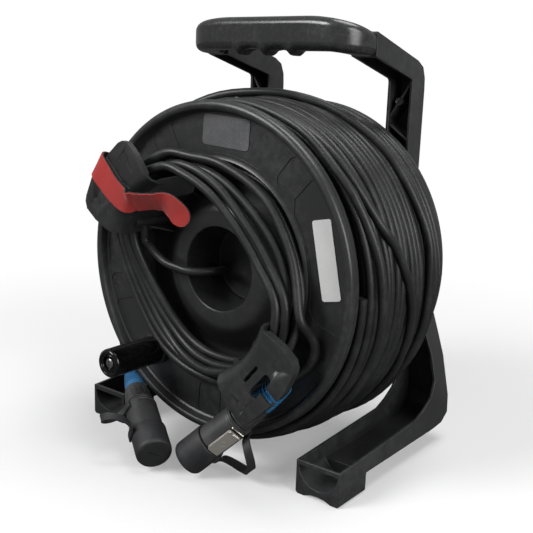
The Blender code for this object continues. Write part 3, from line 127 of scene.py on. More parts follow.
world = bpy.data.worlds.new("studio")
bpy.context.scene.world = world
world.use_nodes = True
backdrop = world.node_tree.nodes["Background"]
backdrop.inputs["Color"].default_value = (1.0, 1.0, 1.0, 1.0)
rays = add_node(world, "ShaderNodeLightPath")
direct = add_node(world, "ShaderNodeMath", {"operation": "MAXIMUM"})
ambient = add_node(world, "ShaderNodeMapRange")
ambient.inputs["To Min"].default_value = WORLD_STRENGTH
ambient.inputs["To Max"].default_value = REFLECTED_STRENGTH
strength = add_node(world, "ShaderNodeMix")
strength.inputs[3].default_value = 1.0
join(world, rays.outputs["Is Camera Ray"], direct.inputs[0])
join(world, rays.outputs["Is Transmission Ray"], direct.inputs[1])
join(world, rays.outputs["Is Glossy Ray"], ambient.inputs["Value"])
join(world, direct.outputs[0], strength.inputs["Factor"])
join(world, ambient.outputs["Result"], strength.inputs[2])
join(world, strength.outputs[0], backdrop.inputs["Strength"])

# Three soft boxes: the main one above and to the left of the front, a wide weak one at
# the right, and one overhead that runs along the cable's turns and the grip.
LAMPS = (
    ("main_softbox", (-0.9, -1.7, 1.6), 1.1, 42.0),
    ("side_softbox", (1.9, -0.5, 0.9), 1.3, 26.0),
    ("top_softbox", (0.3, 0.4, 2.0), 1.2, 22.0),
)
LAMP_TARGET = Vector((0.0, 0.0, 0.18))

for name, place, size, power in LAMPS:
    lamp = bpy.data.objects.new(name, bpy.data.lights.new(name, "AREA"))
    bpy.context.scene.collection.objects.link(lamp)
    lamp.data.shape = "DISK"
    lamp.data.size = size
    lamp.data.energy = power
    lamp.location = place
    lamp.rotation_euler = (LAMP_TARGET - Vector(place)).to_track_quat("-Z", "Y").to_euler()

# The two ends of the cable that hang free of the winding. Both are the same 8 mm round
# tactical cable: a tight black polyurethane jacket over the fibres, matt, a little dusty
# and marked where it has rubbed. The points are those of the solids' routes.
CABLE = 0.008
TURN_POINTS = 0.008          # between two points of a lead's line
JACKET_COLOUR = (0.0145, 0.0148, 0.0155, 1.0)
JACKET_RUBBED = (0.040, 0.041, 0.043, 1.0)
OUTER_LEAD_POINTS = (
    (-178.0, 0.1691, -0.0500),
    (-169.0, 0.1692, -0.0503),
    (-160.0, 0.1694, -0.0520),
    (-151.0, 0.1696, -0.0565),
    (-142.0, 0.1690, -0.0640),
    (-135.0, 0.1680, -0.0715),
)
OUTER_PLUG_END = (-0.0077, -0.1419, -0.1625)
OUTER_PLUG_LINE = (0.803, -0.511, -0.306)
INNER_PLUG_END = (0.0129, -0.1210, -0.1677)
INNER_PLUG_LINE = (-0.656, -0.3185, -0.684)
PLUG_LENGTH = 0.122
BOOT_ENTRY = (-0.008, -0.001, 0.005, 0.011)
INNER_LEAD_START = (
    (-0.0380, -0.0345, -0.0154), (-0.0325, -0.0345, -0.0131), (-0.0283, -0.0347, -0.0114),
    (-0.0190, -0.0380, -0.0085), (-0.0130, -0.0475, -0.0065), (-0.0145, -0.0585, -0.0060),
    (-0.0220, -0.0685, -0.0060), (-0.0330, -0.0747, -0.0060), (-0.0450, -0.0768, -0.0040),
    (-0.0580, -0.0775, -0.0020), (-0.0700, -0.0778, 0.0040), (-0.0785, -0.0790, 0.0115),
    (-0.0840, -0.0805, 0.0182),
)
INNER_LEAD_END = (
    (0.1122, -0.0925, -0.0190), (0.1165, -0.0840, -0.0330), (0.1198, -0.0778, -0.0480),
    (0.1140, -0.0778, -0.0640),
)
# Where each of the six passes from the upper bracket to the lower one crosses these
# angles, and each of the five that come back below, as (radius, depth).
PASS_ANGLES = (140.0, 115.0, 100.0, 80.0, 50.0, 17.0, -10.0, -40.0)
PASSES = (
    ((0.1000, -0.0850), (0.0990, -0.0845), (0.0960, -0.0845), (0.0870, -0.0830),
     (0.0790, -0.0815), (0.0850, -0.0815), (0.0945, -0.0855), (0.1000, -0.0850)),
    ((0.1030, -0.0932), (0.1030, -0.0930), (0.0970, -0.0930), (0.0835, -0.0905),
     (0.0710, -0.0890), (0.0765, -0.0885), (0.0990, -0.0925), (0.1030, -0.0932)),
    ((0.1100, -0.1010), (0.1035, -0.1015), (0.0905, -0.0995), (0.0755, -0.0960),
     (0.0635, -0.0930), (0.0685, -0.0925), (0.0915, -0.0965), (0.0985, -0.1015)),
    ((0.1082, -0.0848), (0.1065, -0.0800), (0.0960, -0.0700), (0.0960, -0.0645),
     (0.0960, -0.0635), (0.0960, -0.0660), (0.0965, -0.0770), (0.1082, -0.0848)),
    ((0.1165, -0.0850), (0.1140, -0.0830), (0.1000, -0.0785), (0.0950, -0.0730),
     (0.0945, -0.0718), (0.0955, -0.0745), (0.1050, -0.0800), (0.1120, -0.0930)),
    ((0.1180, -0.0938), (0.1150, -0.0930), (0.1060, -0.0880), (0.1000, -0.0830),
     (0.0965, -0.0802), (0.0990, -0.0835)),
)
RETURN_ANGLES = (-85.0, -130.0, -188.0)
RETURNS = (
    ((0.0790, -0.0800), (0.0710, -0.0790), (0.0945, -0.0850)),
    ((0.0850, -0.0860), (0.0793, -0.0782), (0.1025, -0.0850)),
    ((0.0905, -0.0925), (0.0876, -0.0795), (0.1105, -0.0800)),
    ((0.0965, -0.0830), (0.0960, -0.0782), (0.1185, -0.0790)),
    ((0.1040, -0.0790), (0.1045, -0.0778), (0.1265, -0.0785)),
)
HELD_START = 16              # points of the inner lead that don't shift at its two ends
HELD_END = 10
SETTLING_ROUNDS = 160


def in_drum(angle, radius, depth):
    spot = math.radians(angle)
    return Vector((radius * math.cos(spot), depth, AXIS_HEIGHT + radius * math.sin(spot)))


def even_line(points, spacing):
    """One smooth line through the points, with points of its own at an even spacing."""
    points = [Vector(p) for p in points]
    ends = [2 * points[0] - points[1]] + points + [2 * points[-1] - points[-2]]
    dense = []
    for a, b, c, d in zip(ends, ends[1:], ends[2:], ends[3:]):
        for step in range(16):
            t = step / 16
            bend = (2 * a - 5 * b + 4 * c - d) * t + (3 * b - a - 3 * c + d) * t * t
            dense.append(b + 0.5 * t * ((c - a) + bend))
    dense.append(points[-1])
    reach = [0.0]
    for a, b in zip(dense, dense[1:]):
        reach.append(reach[-1] + (b - a).length)
    count = max(2, round(reach[-1] / spacing))
    wanted = np.linspace(0.0, reach[-1], count + 1)
    return np.column_stack([np.interp(wanted, reach, [p[k] for p in dense]) for k in range(3)])


def settled(line, apart):
    """Shifts the turns of a coil off each other, as they push each other aside."""
    order = np.arange(len(line))
    other_turn = np.abs(order[:, None] - order[None, :]) > 5
    free = ((order > HELD_START) & (order < len(line) - HELD_END))[:, None]
    shift = np.zeros_like(line)
    for _ in range(SETTLING_ROUNDS):
        away = (line + shift)[:, None] - (line + shift)[None, :]
        distance = np.linalg.norm(away, axis=2) + 1e-9
        short = np.where(other_turn, np.clip(apart - distance, 0.0, None), 0.0)
        shift += 0.25 * free * (away * (short / distance)[..., None]).sum(axis=1)
        shift[1:-1] = 0.5 * shift[1:-1] + 0.25 * (shift[:-2] + shift[2:])
    return line + shift


def cable_along(name, line, diameter):
    """A round cable whose centre follows the line, closed at both ends."""
    data = bpy.data.curves.new(name, "CURVE")
    data.dimensions = "3D"
    data.bevel_depth = diameter / 2
    data.bevel_resolution = 6
    data.resolution_u = 3
    data.use_fill_caps = True
    spline = data.splines.new("BEZIER")
    spline.bezier_points.add(len(line) - 1)
    for point, place in zip(spline.bezier_points, line):
        point.co = Vector(place)
        point.handle_left_type = "AUTO"
        point.handle_right_type = "AUTO"
    cable = bpy.data.objects.new(name, data)
    bpy.context.scene.collection.objects.link(cable)
    return cable


def line_length(line):
    return float(np.linalg.norm(np.diff(line, axis=0), axis=1).sum())


def lifted(point):
    return Vector(point) + Vector((0.0, 0.0, AXIS_HEIGHT))


def plug_line(end, direction):
    """The boot's tip and the direction from it to the cap, of a connector."""
    along = Vector(direction).normalized()
    return lifted(end) - PLUG_LENGTH * along, along


def worn(made, shader, plain, rubbed, coarse, wear):
    """Colour and gloss that vary over a surface: a rubbed cast, fine streaks and dust."""
    place = add_node(made, "ShaderNodeTexCoord")
    broad = add_node(made, "ShaderNodeTexNoise", Scale=coarse, Detail=4.0, Roughness=0.62)
    fine = add_node(made, "ShaderNodeTexNoise", Scale=coarse * 14, Detail=6.0, Roughness=0.7)
    both = add_node(made, "ShaderNodeMath", {"operation": "MULTIPLY"})
    span = add_node(made, "ShaderNodeMapRange")
    span.inputs["From Min"].default_value = 0.22
    span.inputs["From Max"].default_value = 0.42
    span.inputs["To Max"].default_value = wear
    mix = add_node(made, "ShaderNodeMix", {"data_type": "RGBA"})
    mix.inputs[6].default_value = plain
    mix.inputs[7].default_value = rubbed
    join(made, place.outputs["Object"], broad.inputs["Vector"])
    join(made, place.outputs["Object"], fine.inputs["Vector"])
    join(made, broad.outputs["Fac"], both.inputs[0])
    join(made, fine.outputs["Fac"], both.inputs[1])
    join(made, both.outputs[0], span.inputs["Value"])
    join(made, span.outputs["Result"], mix.inputs["Factor"])
    join(made, mix.outputs[2], shader.inputs["Base Color"])
    return place, span.outputs["Result"]


def glossy_between(made, shader, amount, low, high):
    gloss = add_node(made, "ShaderNodeMapRange")
    gloss.inputs["To Min"].default_value = low
    gloss.inputs["To Max"].default_value = high
    join(made, amount, gloss.inputs["Value"])
    join(made, gloss.outputs["Result"], shader.inputs["Roughness"])


def grained(made, shader, place, size, depth, strength=1.0):
    """A fine moulded or extruded grain, as bumps of about this size and depth."""
    grain = add_node(made, "ShaderNodeTexNoise", Scale=1.0 / size, Detail=3.0, Roughness=0.55)
    bump = add_node(made, "ShaderNodeBump", Strength=strength, Distance=depth)
    join(made, place.outputs["Object"], grain.inputs["Vector"])
    join(made, grain.outputs["Fac"], bump.inputs["Height"])
    join(made, bump.outputs["Normal"], shader.inputs["Normal"])
    return bump


cable_jacket, shader = new_material("cable_jacket")
place, rubbing = worn(cable_jacket, shader, JACKET_COLOUR, JACKET_RUBBED, 38.0, 0.8)
glossy_between(cable_jacket, shader, rubbing, 0.40, 0.58)
grained(cable_jacket, shader, place, 0.0011, 0.00012)
shader.inputs["Specular IOR Level"].default_value = 0.42

outer_tip, outer_along = plug_line(OUTER_PLUG_END, OUTER_PLUG_LINE)
outer_route = [in_drum(*spot) for spot in OUTER_LEAD_POINTS]
outer_route += [outer_tip + outer_along * step for step in BOOT_ENTRY]
outer_line = even_line(outer_route, TURN_POINTS)
outer_lead = cable_along("outer_lead_cable", outer_line, CABLE)
outer_lead.data.materials.append(cable_jacket)
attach(outer_lead, "drum")
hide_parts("outer_lead")

inner_tip, inner_along = plug_line(INNER_PLUG_END, INNER_PLUG_LINE)
inner_route = [lifted(point) for point in INNER_LEAD_START]
for turn_number, crossings in enumerate(PASSES):
    back = -360.0 * turn_number
    for angle, crossing in zip(PASS_ANGLES, crossings):
        inner_route.append(in_drum(angle + back, *crossing))
    if turn_number < len(RETURNS):
        for angle, crossing in zip(RETURN_ANGLES, RETURNS[turn_number]):
            inner_route.append(in_drum(angle + back, *crossing))
inner_route += [lifted(point) for point in INNER_LEAD_END]
inner_route += [inner_tip + inner_along * step for step in BOOT_ENTRY]
inner_line = settled(even_line(inner_route, TURN_POINTS), CABLE * 1.03)
inner_lead = cable_along("inner_lead_cable", inner_line, CABLE)
inner_lead.data.materials.append(cable_jacket)
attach(inner_lead, "drum")
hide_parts("inner_lead_start", "inner_lead_coil", "inner_lead_end")

# The cable on the core, some hundred metres of it. Only the outer turns show, so those
# are modelled: an even layer below, a looser one over it, and the few turns that ran
# across their neighbours as the reel was wound up by hand.
LAYER_TURNS = 16
LAYER_FRONT = -0.0640
LAYER_BACK = 0.0645
LAYER_STEP = 0.0125          # between two points of a turn
FRONT_RADIUS = 0.1535        # a turn's centre line beside the front flange
MIDDLE_RADIUS = 0.1600
BACK_RADIUS = 0.1570
LAYER_DROP = 0.0072          # from the outer layer to the one below it
SIDE_DRIFT = 0.0036
LOOSENESS = 0.0022
SAG = 0.0055                 # the wound cable hangs below the drum's line
# The turns that cross others, as (angle, radius, depth) down their length.
CROSSING_TURNS = (
    ((182.0, 0.1691, -0.0500), (160.0, 0.1690, -0.0490), (135.0, 0.1685, -0.0400),
     (110.0, 0.1680, -0.0260), (90.0, 0.1675, -0.0080), (75.0, 0.1672, 0.0110),
     (60.0, 0.1668, 0.0190), (42.0, 0.1666, 0.0270), (20.0, 0.1664, 0.0320),
     (5.0, 0.1660, 0.0330), (-20.0, 0.1650, 0.0345), (-50.0, 0.1630, 0.0370),
     (-80.0, 0.1600, 0.0400), (-110.0, 0.1560, 0.0420)),
    ((95.0, 0.1540, -0.0560), (70.0, 0.1590, -0.0540), (46.0, 0.1620, -0.0500),
     (21.0, 0.1642, -0.0370), (14.5, 0.1652, -0.0240), (6.5, 0.1660, -0.0140),
     (0.0, 0.1662, -0.0050), (-10.0, 0.1660, 0.0050), (-20.0, 0.1652, 0.0100),
     (-32.0, 0.1648, 0.0150), (-50.0, 0.1630, 0.0190), (-75.0, 0.1590, 0.0210),
     (-100.0, 0.1550, 0.0210)),
    ((120.0, 0.1530, -0.0500), (90.0, 0.1590, -0.0560), (60.0, 0.1615, -0.0600),
     (36.0, 0.1618, -0.0590), (28.0, 0.1622, -0.0560), (19.0, 0.1632, -0.0535),
     (11.0, 0.1640, -0.0500), (3.0, 0.1642, -0.0485), (-7.0, 0.1640, -0.0460),
     (-20.0, 0.1630, -0.0445), (-40.0, 0.1610, -0.0440), (-70.0, 0.1570, -0.0440),
     (-95.0, 0.1530, -0.0440)),
)


def layer_line(drop, shift, drift):
    """The centre line of one layer, from the front flange to the rear one."""
    line = []
    around = 2 * math.pi * MIDDLE_RADIUS
    count = round(LAYER_TURNS * around / LAYER_STEP)
    for step in range(count + 1):
        turns = LAYER_TURNS * step / count
        angle = -360.0 * turns
        spot = Vector((math.cos(math.radians(angle)), math.sin(math.radians(angle)), turns * 0.55))
        depth = LAYER_FRONT + (LAYER_BACK - LAYER_FRONT) * turns / LAYER_TURNS + shift
        depth += drift * noise(spot * 1.3 + Vector((4.0, 0.0, 0.0)))
        across = (depth - LAYER_FRONT) / (LAYER_BACK - LAYER_FRONT)
        crown = math.sin(math.pi * min(1.0, max(0.0, across)))
        edge = FRONT_RADIUS + (BACK_RADIUS - FRONT_RADIUS) * across
        radius = edge + (MIDDLE_RADIUS - edge) * crown ** 0.7 - drop
        radius += LOOSENESS * noise(spot * 1.7 + Vector((0.0, 9.0, turns)))
        radius -= SAG * math.sin(math.radians(angle))
        line.append(in_drum(angle, radius, depth))
    return line


wound = [cable_along("outer_turns", layer_line(0.0, 0.0, SIDE_DRIFT), CABLE),
         cable_along("inner_turns", layer_line(LAYER_DROP, 0.0042, 0.0010), CABLE)]
for points in CROSSING_TURNS:
    sunk = [(angle, radius - SAG * math.sin(math.radians(angle)), depth) for angle, radius, depth in points]
    crossing_line = even_line([in_drum(*point) for point in sunk], LAYER_STEP)
    wound.append(cable_along("crossing_turn", crossing_line, CABLE))
bpy.ops.object.select_all(action="DESELECT")
for turns in wound:
    turns.data.resolution_u = 1
    turns.data.bevel_resolution = 3
    turns.select_set(True)
bpy.context.view_layer.objects.active = wound[0]
bpy.ops.object.convert(target="MESH")
bpy.ops.object.join()
winding = bpy.context.object
winding.name = "cable_on_the_core"
bpy.ops.object.shade_smooth()
winding.data.materials.clear()
winding.data.materials.append(cable_jacket)
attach(winding, "drum")
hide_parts("cable_winding")

# The two drum flanges: black ABS discs with a rolled rim, moulded with five sunk panels
# between sunk slots that stiffen the web. Both are pressed onto the ends of the core.
FLANGE_RADIUS = 0.155
OPENING_RADIUS = 0.1014
HUB_HOLE_RADIUS = 0.0168
WEB_INSIDE = 0.070           # drum centre to the inner side of a flange
WEB_FACE = 0.0735
RIM_FACE = 0.0825
RIM_INSIDE = 0.1455
PANEL_SINK = 0.0007
PANEL_INNER = 0.1085
PANEL_OUTER = 0.1438
PANEL_CORNER = 0.1165
PANEL_HALF_ANGLE = 28.0
PANEL_CORNER_ANGLE = 27.0
PANEL_INNER_ANGLE = 22.0
SLOT_MIDDLE = 0.1275
SLOT_LENGTH = 0.0330
SLOT_WIDTH = 0.0160
FIRST_SLOT_ANGLE = 50.0
REPEATS = 5
DRUM_STEPS = 144
POINT = 0.00001              # the radius at which a turned shape is closed
DRUM_PLACE = Matrix.Translation((0.0, 0.0, AXIS_HEIGHT)) @ Matrix.Rotation(-math.pi / 2, 4, "X")
DRUM_PLASTIC = (0.0235, 0.0240, 0.0250, 1.0)
DRUM_DUSTY = (0.060, 0.061, 0.064, 1.0)


def begin():
    bpy.ops.object.select_all(action="DESELECT")


def closed_up(inside=False):
    bpy.ops.mesh.select_all(action="SELECT")
    bpy.ops.mesh.remove_doubles(threshold=POINT * 3)
    bpy.ops.mesh.normals_make_consistent(inside=inside)
    bpy.ops.object.mode_set(mode="OBJECT")


def turned(name, profile, steps=DRUM_STEPS):
    """A shape turned about its own Z: each ring is drawn out of the last and resized."""
    begin()
    radius, height = profile[0]
    radius = max(radius, POINT)
    bpy.ops.mesh.primitive_circle_add(vertices=steps, radius=radius, location=(0, 0, 0))
    bpy.context.object.name = name
    bpy.ops.object.mode_set(mode="EDIT")
    bpy.ops.mesh.select_all(action="SELECT")
    bpy.ops.transform.translate(value=(0, 0, height))
    for next_radius, next_height in profile[1:]:
        next_radius = max(next_radius, POINT)
        bpy.ops.mesh.extrude_region_move(
            TRANSFORM_OT_translate={"value": (0, 0, next_height - height)})
        grow = next_radius / radius
        bpy.ops.transform.resize(value=(grow, grow, 1), center_override=(0, 0, next_height))
        radius, height = next_radius, next_height
    closed_up()
    return bpy.context.object


def laid(thing, place):
    """Puts a piece at its place and keeps that place in its mesh."""
    begin()
    thing.matrix_world = place @ thing.matrix_world
    thing.select_set(True)
    bpy.context.view_layer.objects.active = thing
    bpy.ops.object.transform_apply(location=True, rotation=True, scale=True)
    return thing


def flat_piece(name, outline, low, high):
    """A flat piece of this outline in its own XY, between two heights."""
    data = bpy.data.curves.new(name, "CURVE")
    data.dimensions = "2D"
    data.fill_mode = "BOTH"
    data.extrude = (high - low) / 2
    spline = data.splines.new("POLY")
    spline.points.add(len(outline) - 1)
    for point, (x, y) in zip(spline.points, outline):
        point.co = (x, y, 0.0, 1.0)
    spline.use_cyclic_u = True
    thing = bpy.data.objects.new(name, data)
    bpy.context.scene.collection.objects.link(thing)
    thing.location = (0.0, 0.0, (low + high) / 2)
    begin()
    thing.select_set(True)
    bpy.context.view_layer.objects.active = thing
    bpy.ops.object.convert(target="MESH")
    bpy.ops.object.transform_apply(location=True)
    bpy.ops.object.mode_set(mode="EDIT")
    closed_up()
    return thing


def modified(thing, kind, **settings):
    """Adds one modifier to a piece and applies it."""
    change = thing.modifiers.new(kind.lower(), kind)
    for name, value in settings.items():
        setattr(change, name, value)
    begin()
    thing.select_set(True)
    bpy.context.view_layer.objects.active = thing
    bpy.ops.object.modifier_apply(modifier=change.name)
    return thing


def cut(thing, tool):
    modified(thing, "BOOLEAN", operation="DIFFERENCE", object=tool, solver="EXACT")
    bpy.data.objects.remove(tool)
    return thing


def joined(first, *others):
    """Makes one object of several pieces of one moulding."""
    begin()
    for thing in (first, *others):
        thing.select_set(True)
    bpy.context.view_layer.objects.active = first
    bpy.ops.object.join()
    return first


def smooth(thing, degrees=35.0):
    begin()
    thing.select_set(True)
    bpy.context.view_layer.objects.active = thing
    bpy.ops.object.shade_smooth_by_angle(angle=math.radians(degrees))
    return thing


def edged(thing, width, segments=2, degrees=35.0):
    """Rounds a piece's edges as a mould does, and smooths it."""
    modified(thing, "BEVEL", width=width, segments=segments, limit_method="ANGLE",
             angle_limit=math.radians(degrees), use_clamp_overlap=True, miter_outer="MITER_ARC")
    smooth(thing, degrees)
    return modified(thing, "WEIGHTED_NORMAL", keep_sharp=True, weight=80)


def finished(thing, name, body, slot, finish, *nodes):
    """The last step for a piece: its name, its finish, its body and what it stands for."""
    thing.name = name
    thing.data.materials.clear()
    thing.data.materials.append(finish)
    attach(thing, body)
    if nodes:
        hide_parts(*nodes)
    return thing


def on_arc(radius, degrees):
    return radius * math.cos(math.radians(degrees)), radius * math.sin(math.radians(degrees))


def panel_outline(middle):
    outline = []
    for step in range(9):
        side = 1.0 - step / 4
        outline.append(on_arc(PANEL_INNER, middle + side * PANEL_INNER_ANGLE))
    outline.append(on_arc(PANEL_CORNER, middle - PANEL_CORNER_ANGLE))
    outline.append(on_arc(PANEL_OUTER - 0.003, middle - PANEL_HALF_ANGLE))
    for step in range(13):
        side = step / 6 - 1.0
        outline.append(on_arc(PANEL_OUTER, middle + side * (PANEL_HALF_ANGLE - 1.2)))
    outline.append(on_arc(PANEL_OUTER - 0.003, middle + PANEL_HALF_ANGLE))
    outline.append(on_arc(PANEL_CORNER, middle + PANEL_CORNER_ANGLE))
    return outline


def slot_outline(length, width, steps=8):
    """A long hole with round ends, along X."""
    outline = []
    for side, start in ((1, -90.0), (-1, 90.0)):
        for step in range(steps + 1):
            x, y = on_arc(width / 2, start + 180.0 * step / steps)
            outline.append((x + side * (length - width) / 2, y))
    return outline


def turned_outline(outline, radius, degrees):
    """An outline moved out from the middle to a radius, and turned about the middle."""
    spin = math.radians(degrees)
    return [((x + radius) * math.cos(spin) - y * math.sin(spin),
             (x + radius) * math.sin(spin) + y * math.cos(spin)) for x, y in outline]


drum_finish, shader = new_material("drum_plastic")
place, dusty = worn(drum_finish, shader, DRUM_PLASTIC, DRUM_DUSTY, 11.0, 0.55)
glossy_between(drum_finish, shader, dusty, 0.34, 0.52)
grained(drum_finish, shader, place, 0.0006, 0.00004)
shader.inputs["Specular IOR Level"].default_value = 0.5

flange_profile = (
    (RIM_INSIDE, WEB_FACE + 0.0012), (0.1462, WEB_FACE + 0.0050), (0.1472, 0.0812),
    (0.1487, 0.0822), (0.1503, RIM_FACE), (0.1520, 0.0822), (0.1537, 0.0812),
    (0.1547, 0.0797), (FLANGE_RADIUS, 0.0778), (FLANGE_RADIUS, 0.0762), (0.1541, 0.0756),
    (0.1541, 0.0746), (FLANGE_RADIUS, 0.0740), (FLANGE_RADIUS, 0.0712), (0.1543, WEB_INSIDE),
)
for side, name, inner, node in ((-1, "front_drum_flange", OPENING_RADIUS, "front_flange"),
                                (1, "rear_drum_flange", HUB_HOLE_RADIUS, "rear_flange")):
    lip = ((inner, WEB_INSIDE), (inner, WEB_FACE + 0.0008), (inner + 0.0006, WEB_FACE + 0.0016),
           (inner + 0.0018, WEB_FACE + 0.0019), (inner + 0.0032, WEB_FACE + 0.0013),
           (inner + 0.0045, WEB_FACE), (RIM_INSIDE - 0.0016, WEB_FACE))
    profile = lip + flange_profile + lip[:1]
    flange = turned(name, [(radius, side * depth) for radius, depth in profile])
    cutters = []
    for number in range(REPEATS):
        slot_angle = FIRST_SLOT_ANGLE + 360.0 * number / REPEATS
        pill = turned_outline(slot_outline(SLOT_LENGTH, SLOT_WIDTH), SLOT_MIDDLE, slot_angle)
        panel = panel_outline(slot_angle - 180.0 / REPEATS)
        for outline in (pill, panel):
            mirrored = [(x, -y) for x, y in outline]
            low, high = sorted((side * (WEB_FACE - PANEL_SINK), side * (WEB_FACE + 0.01)))
            cutters.append(flat_piece("sink_tool", mirrored, low, high))
    cut(flange, joined(*cutters))
    laid(flange, DRUM_PLACE)
    edged(flange, 0.00035, 2)
    finished(flange, name, "drum", "drum_plastic", drum_finish, node)

# The dish that closes the front opening: one moulding with the cup in its middle, a
# sloping shoulder and the trough that the inner lead lies in. The cup's wall has a port
# with a soft grommet, where the lead comes through from the winding.
HOLE_RADIUS = 0.040
CUP_FLOOR_RADIUS = 0.038
CUP_FLOOR = -0.0231
DISH_FACE = -0.0686
SHOULDER_RADIUS = 0.057
TROUGH_RADIUS = 0.081
TROUGH_FLOOR = -0.050
DISH_EDGE = 0.1017
SKIN = 0.0025
PORT_RADIUS = 0.0095
PORT_ANGLE = -158.0
PORT_DEPTH = -0.0345
BRACKET_ANGLES = (140.0, -40.0)

dish_profile = (
    (0.0, CUP_FLOOR), (CUP_FLOOR_RADIUS - 0.003, CUP_FLOOR), (CUP_FLOOR_RADIUS - 0.0008, CUP_FLOOR - 0.0007),
    (CUP_FLOOR_RADIUS, CUP_FLOOR - 0.003), (HOLE_RADIUS - 0.0004, DISH_FACE + 0.0030),
    (HOLE_RADIUS - 0.0001, DISH_FACE + 0.0008), (HOLE_RADIUS + 0.0008, DISH_FACE),
    (SHOULDER_RADIUS - 0.005, DISH_FACE), (SHOULDER_RADIUS, DISH_FACE + 0.0008),
    (SHOULDER_RADIUS + 0.005, DISH_FACE + 0.0040), (TROUGH_RADIUS - 0.004, TROUGH_FLOOR - 0.0032),
    (TROUGH_RADIUS, TROUGH_FLOOR - 0.0008), (TROUGH_RADIUS + 0.003, TROUGH_FLOOR),
    (DISH_EDGE, TROUGH_FLOOR), (DISH_EDGE, TROUGH_FLOOR + SKIN),
    (TROUGH_RADIUS - 0.001, TROUGH_FLOOR + SKIN), (SHOULDER_RADIUS - 0.001, DISH_FACE + SKIN),
    (HOLE_RADIUS + SKIN, DISH_FACE + SKIN), (CUP_FLOOR_RADIUS + SKIN, CUP_FLOOR + SKIN),
    (0.0, CUP_FLOOR + SKIN),
)


def port_place(depth_of_wall=0.0):
    """At the port, with the local Z out through the cup's wall."""
    x, z = on_arc(CUP_FLOOR_RADIUS + depth_of_wall, PORT_ANGLE)
    out = Vector((x, 0.0, z)).normalized()
    across = Vector((0.0, 1.0, 0.0)).cross(out)
    turn = Matrix((across, Vector((0.0, 1.0, 0.0)), out)).transposed()
    return Matrix.Translation((x, PORT_DEPTH, AXIS_HEIGHT + z)) @ turn.to_4x4()


dish = laid(turned("centre_dish", dish_profile), DRUM_PLACE)
port_tool = turned("port_tool", (
    (0.0, -0.012), (PORT_RADIUS, -0.012), (PORT_RADIUS, 0.012), (0.0, 0.012)), 40)
cut(dish, laid(port_tool, port_place()))
edged(dish, 0.0003, 2)
finished(dish, "centre_dish", "drum", "drum_plastic", drum_finish, "hub_dish", "hub_cup")

GROMMET_HALF = 0.0021
rubber_finish, shader = new_material("soft_rubber")
place, dusty = worn(rubber_finish, shader, (0.016, 0.0165, 0.018, 1.0), (0.052, 0.053, 0.056, 1.0), 60.0, 0.6)
glossy_between(rubber_finish, shader, dusty, 0.55, 0.75)
grained(rubber_finish, shader, place, 0.0004, 0.00005)
grommet = turned("cup_port_grommet", (
    (CABLE / 2 + 0.0003, -GROMMET_HALF + 0.0006), (CABLE / 2 + 0.0009, -GROMMET_HALF),
    (PORT_RADIUS - 0.0009, -GROMMET_HALF), (PORT_RADIUS - 0.0003, -GROMMET_HALF + 0.0006),
    (PORT_RADIUS - 0.0003, GROMMET_HALF - 0.0006), (PORT_RADIUS - 0.0009, GROMMET_HALF),
    (CABLE / 2 + 0.0009, GROMMET_HALF), (CABLE / 2 + 0.0003, GROMMET_HALF - 0.0006),
    (CABLE / 2 + 0.0003, -GROMMET_HALF + 0.0006)), 40)
laid(grommet, port_place(GROMMET_HALF))
finished(smooth(grommet, 60.0), "cup_port_grommet", "drum", "soft_rubber", rubber_finish, "port_grommet")

# The core that the cable is wound on: a tube with a plate across it that carries the
# hub sleeve. It stands wholly inside the drum, so its solid stays and only gets plastic.
core_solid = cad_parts["core_barrel"]
core_solid.data.materials.clear()
core_solid.data.materials.append(drum_finish)

# The two lead brackets: black ABS mouldings, each a lipped plate that turns down into a
# curved wall. A bracket stands on the dish with two screws from behind, holds the inner
# lead on its wall and a strap in its slot, and its keyhole slot grips a connector's boot.
BRACKET_FRONT = -0.1185
BRACKET_ROUNDING = 0.0006
PIN_OFFSET = 13.8            # ejector marks, in degrees to each side of a bracket's middle
PIN_CIRCLE = 0.1235
PIN_RADIUS = 0.0050
PIN_LINE = 0.00035
PIN_DEPTH = 0.00018
GUSSET_OFFSET = 20.3
GUSSET_HALF = 0.0009
GUSSET_OUTLINE = ((0.0725, -0.0560), (0.0893, -0.0765), (0.0893, -0.0500), (0.0815, -0.0505))
FINE_ANGLE = 0.8             # degrees under which a solid's facets count as flat


def copied(node, name):
    """A piece with a solid's mesh, its doubled points merged and its flats made whole."""
    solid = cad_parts[node]
    thing = bpy.data.objects.new(name, solid.data.copy())
    bpy.context.scene.collection.objects.link(thing)
    laid(thing, solid.matrix_world)
    bpy.ops.object.mode_set(mode="EDIT")
    bpy.ops.mesh.select_all(action="SELECT")
    bpy.ops.mesh.remove_doubles(threshold=POINT * 2)
    bpy.ops.mesh.dissolve_limited(angle_limit=math.radians(FINE_ANGLE))
    bpy.ops.mesh.normals_make_consistent(inside=False)
    bpy.ops.object.mode_set(mode="OBJECT")
    return thing


def facing(x, z, depth, tilt=0.0):
    """On the drum's front at this place, with the local Z towards the viewer's side."""
    here = Matrix.Translation((x, depth, AXIS_HEIGHT + z))
    return here @ Matrix.Rotation(math.radians(90.0 + tilt), 4, "X")


def ring_marks(thing, places, radius):
    """Cuts the faint round line that an ejector pin leaves, at each of these places."""
    marks = []
    for place in places:
        groove = turned("mark", (
            (radius - PIN_LINE, -PIN_DEPTH), (radius, -PIN_DEPTH), (radius, 0.002),
            (radius - PIN_LINE, 0.002), (radius - PIN_LINE, -PIN_DEPTH)), 40)
        marks.append(laid(groove, place))
    return smooth(cut(thing, joined(*marks)), 35.0)


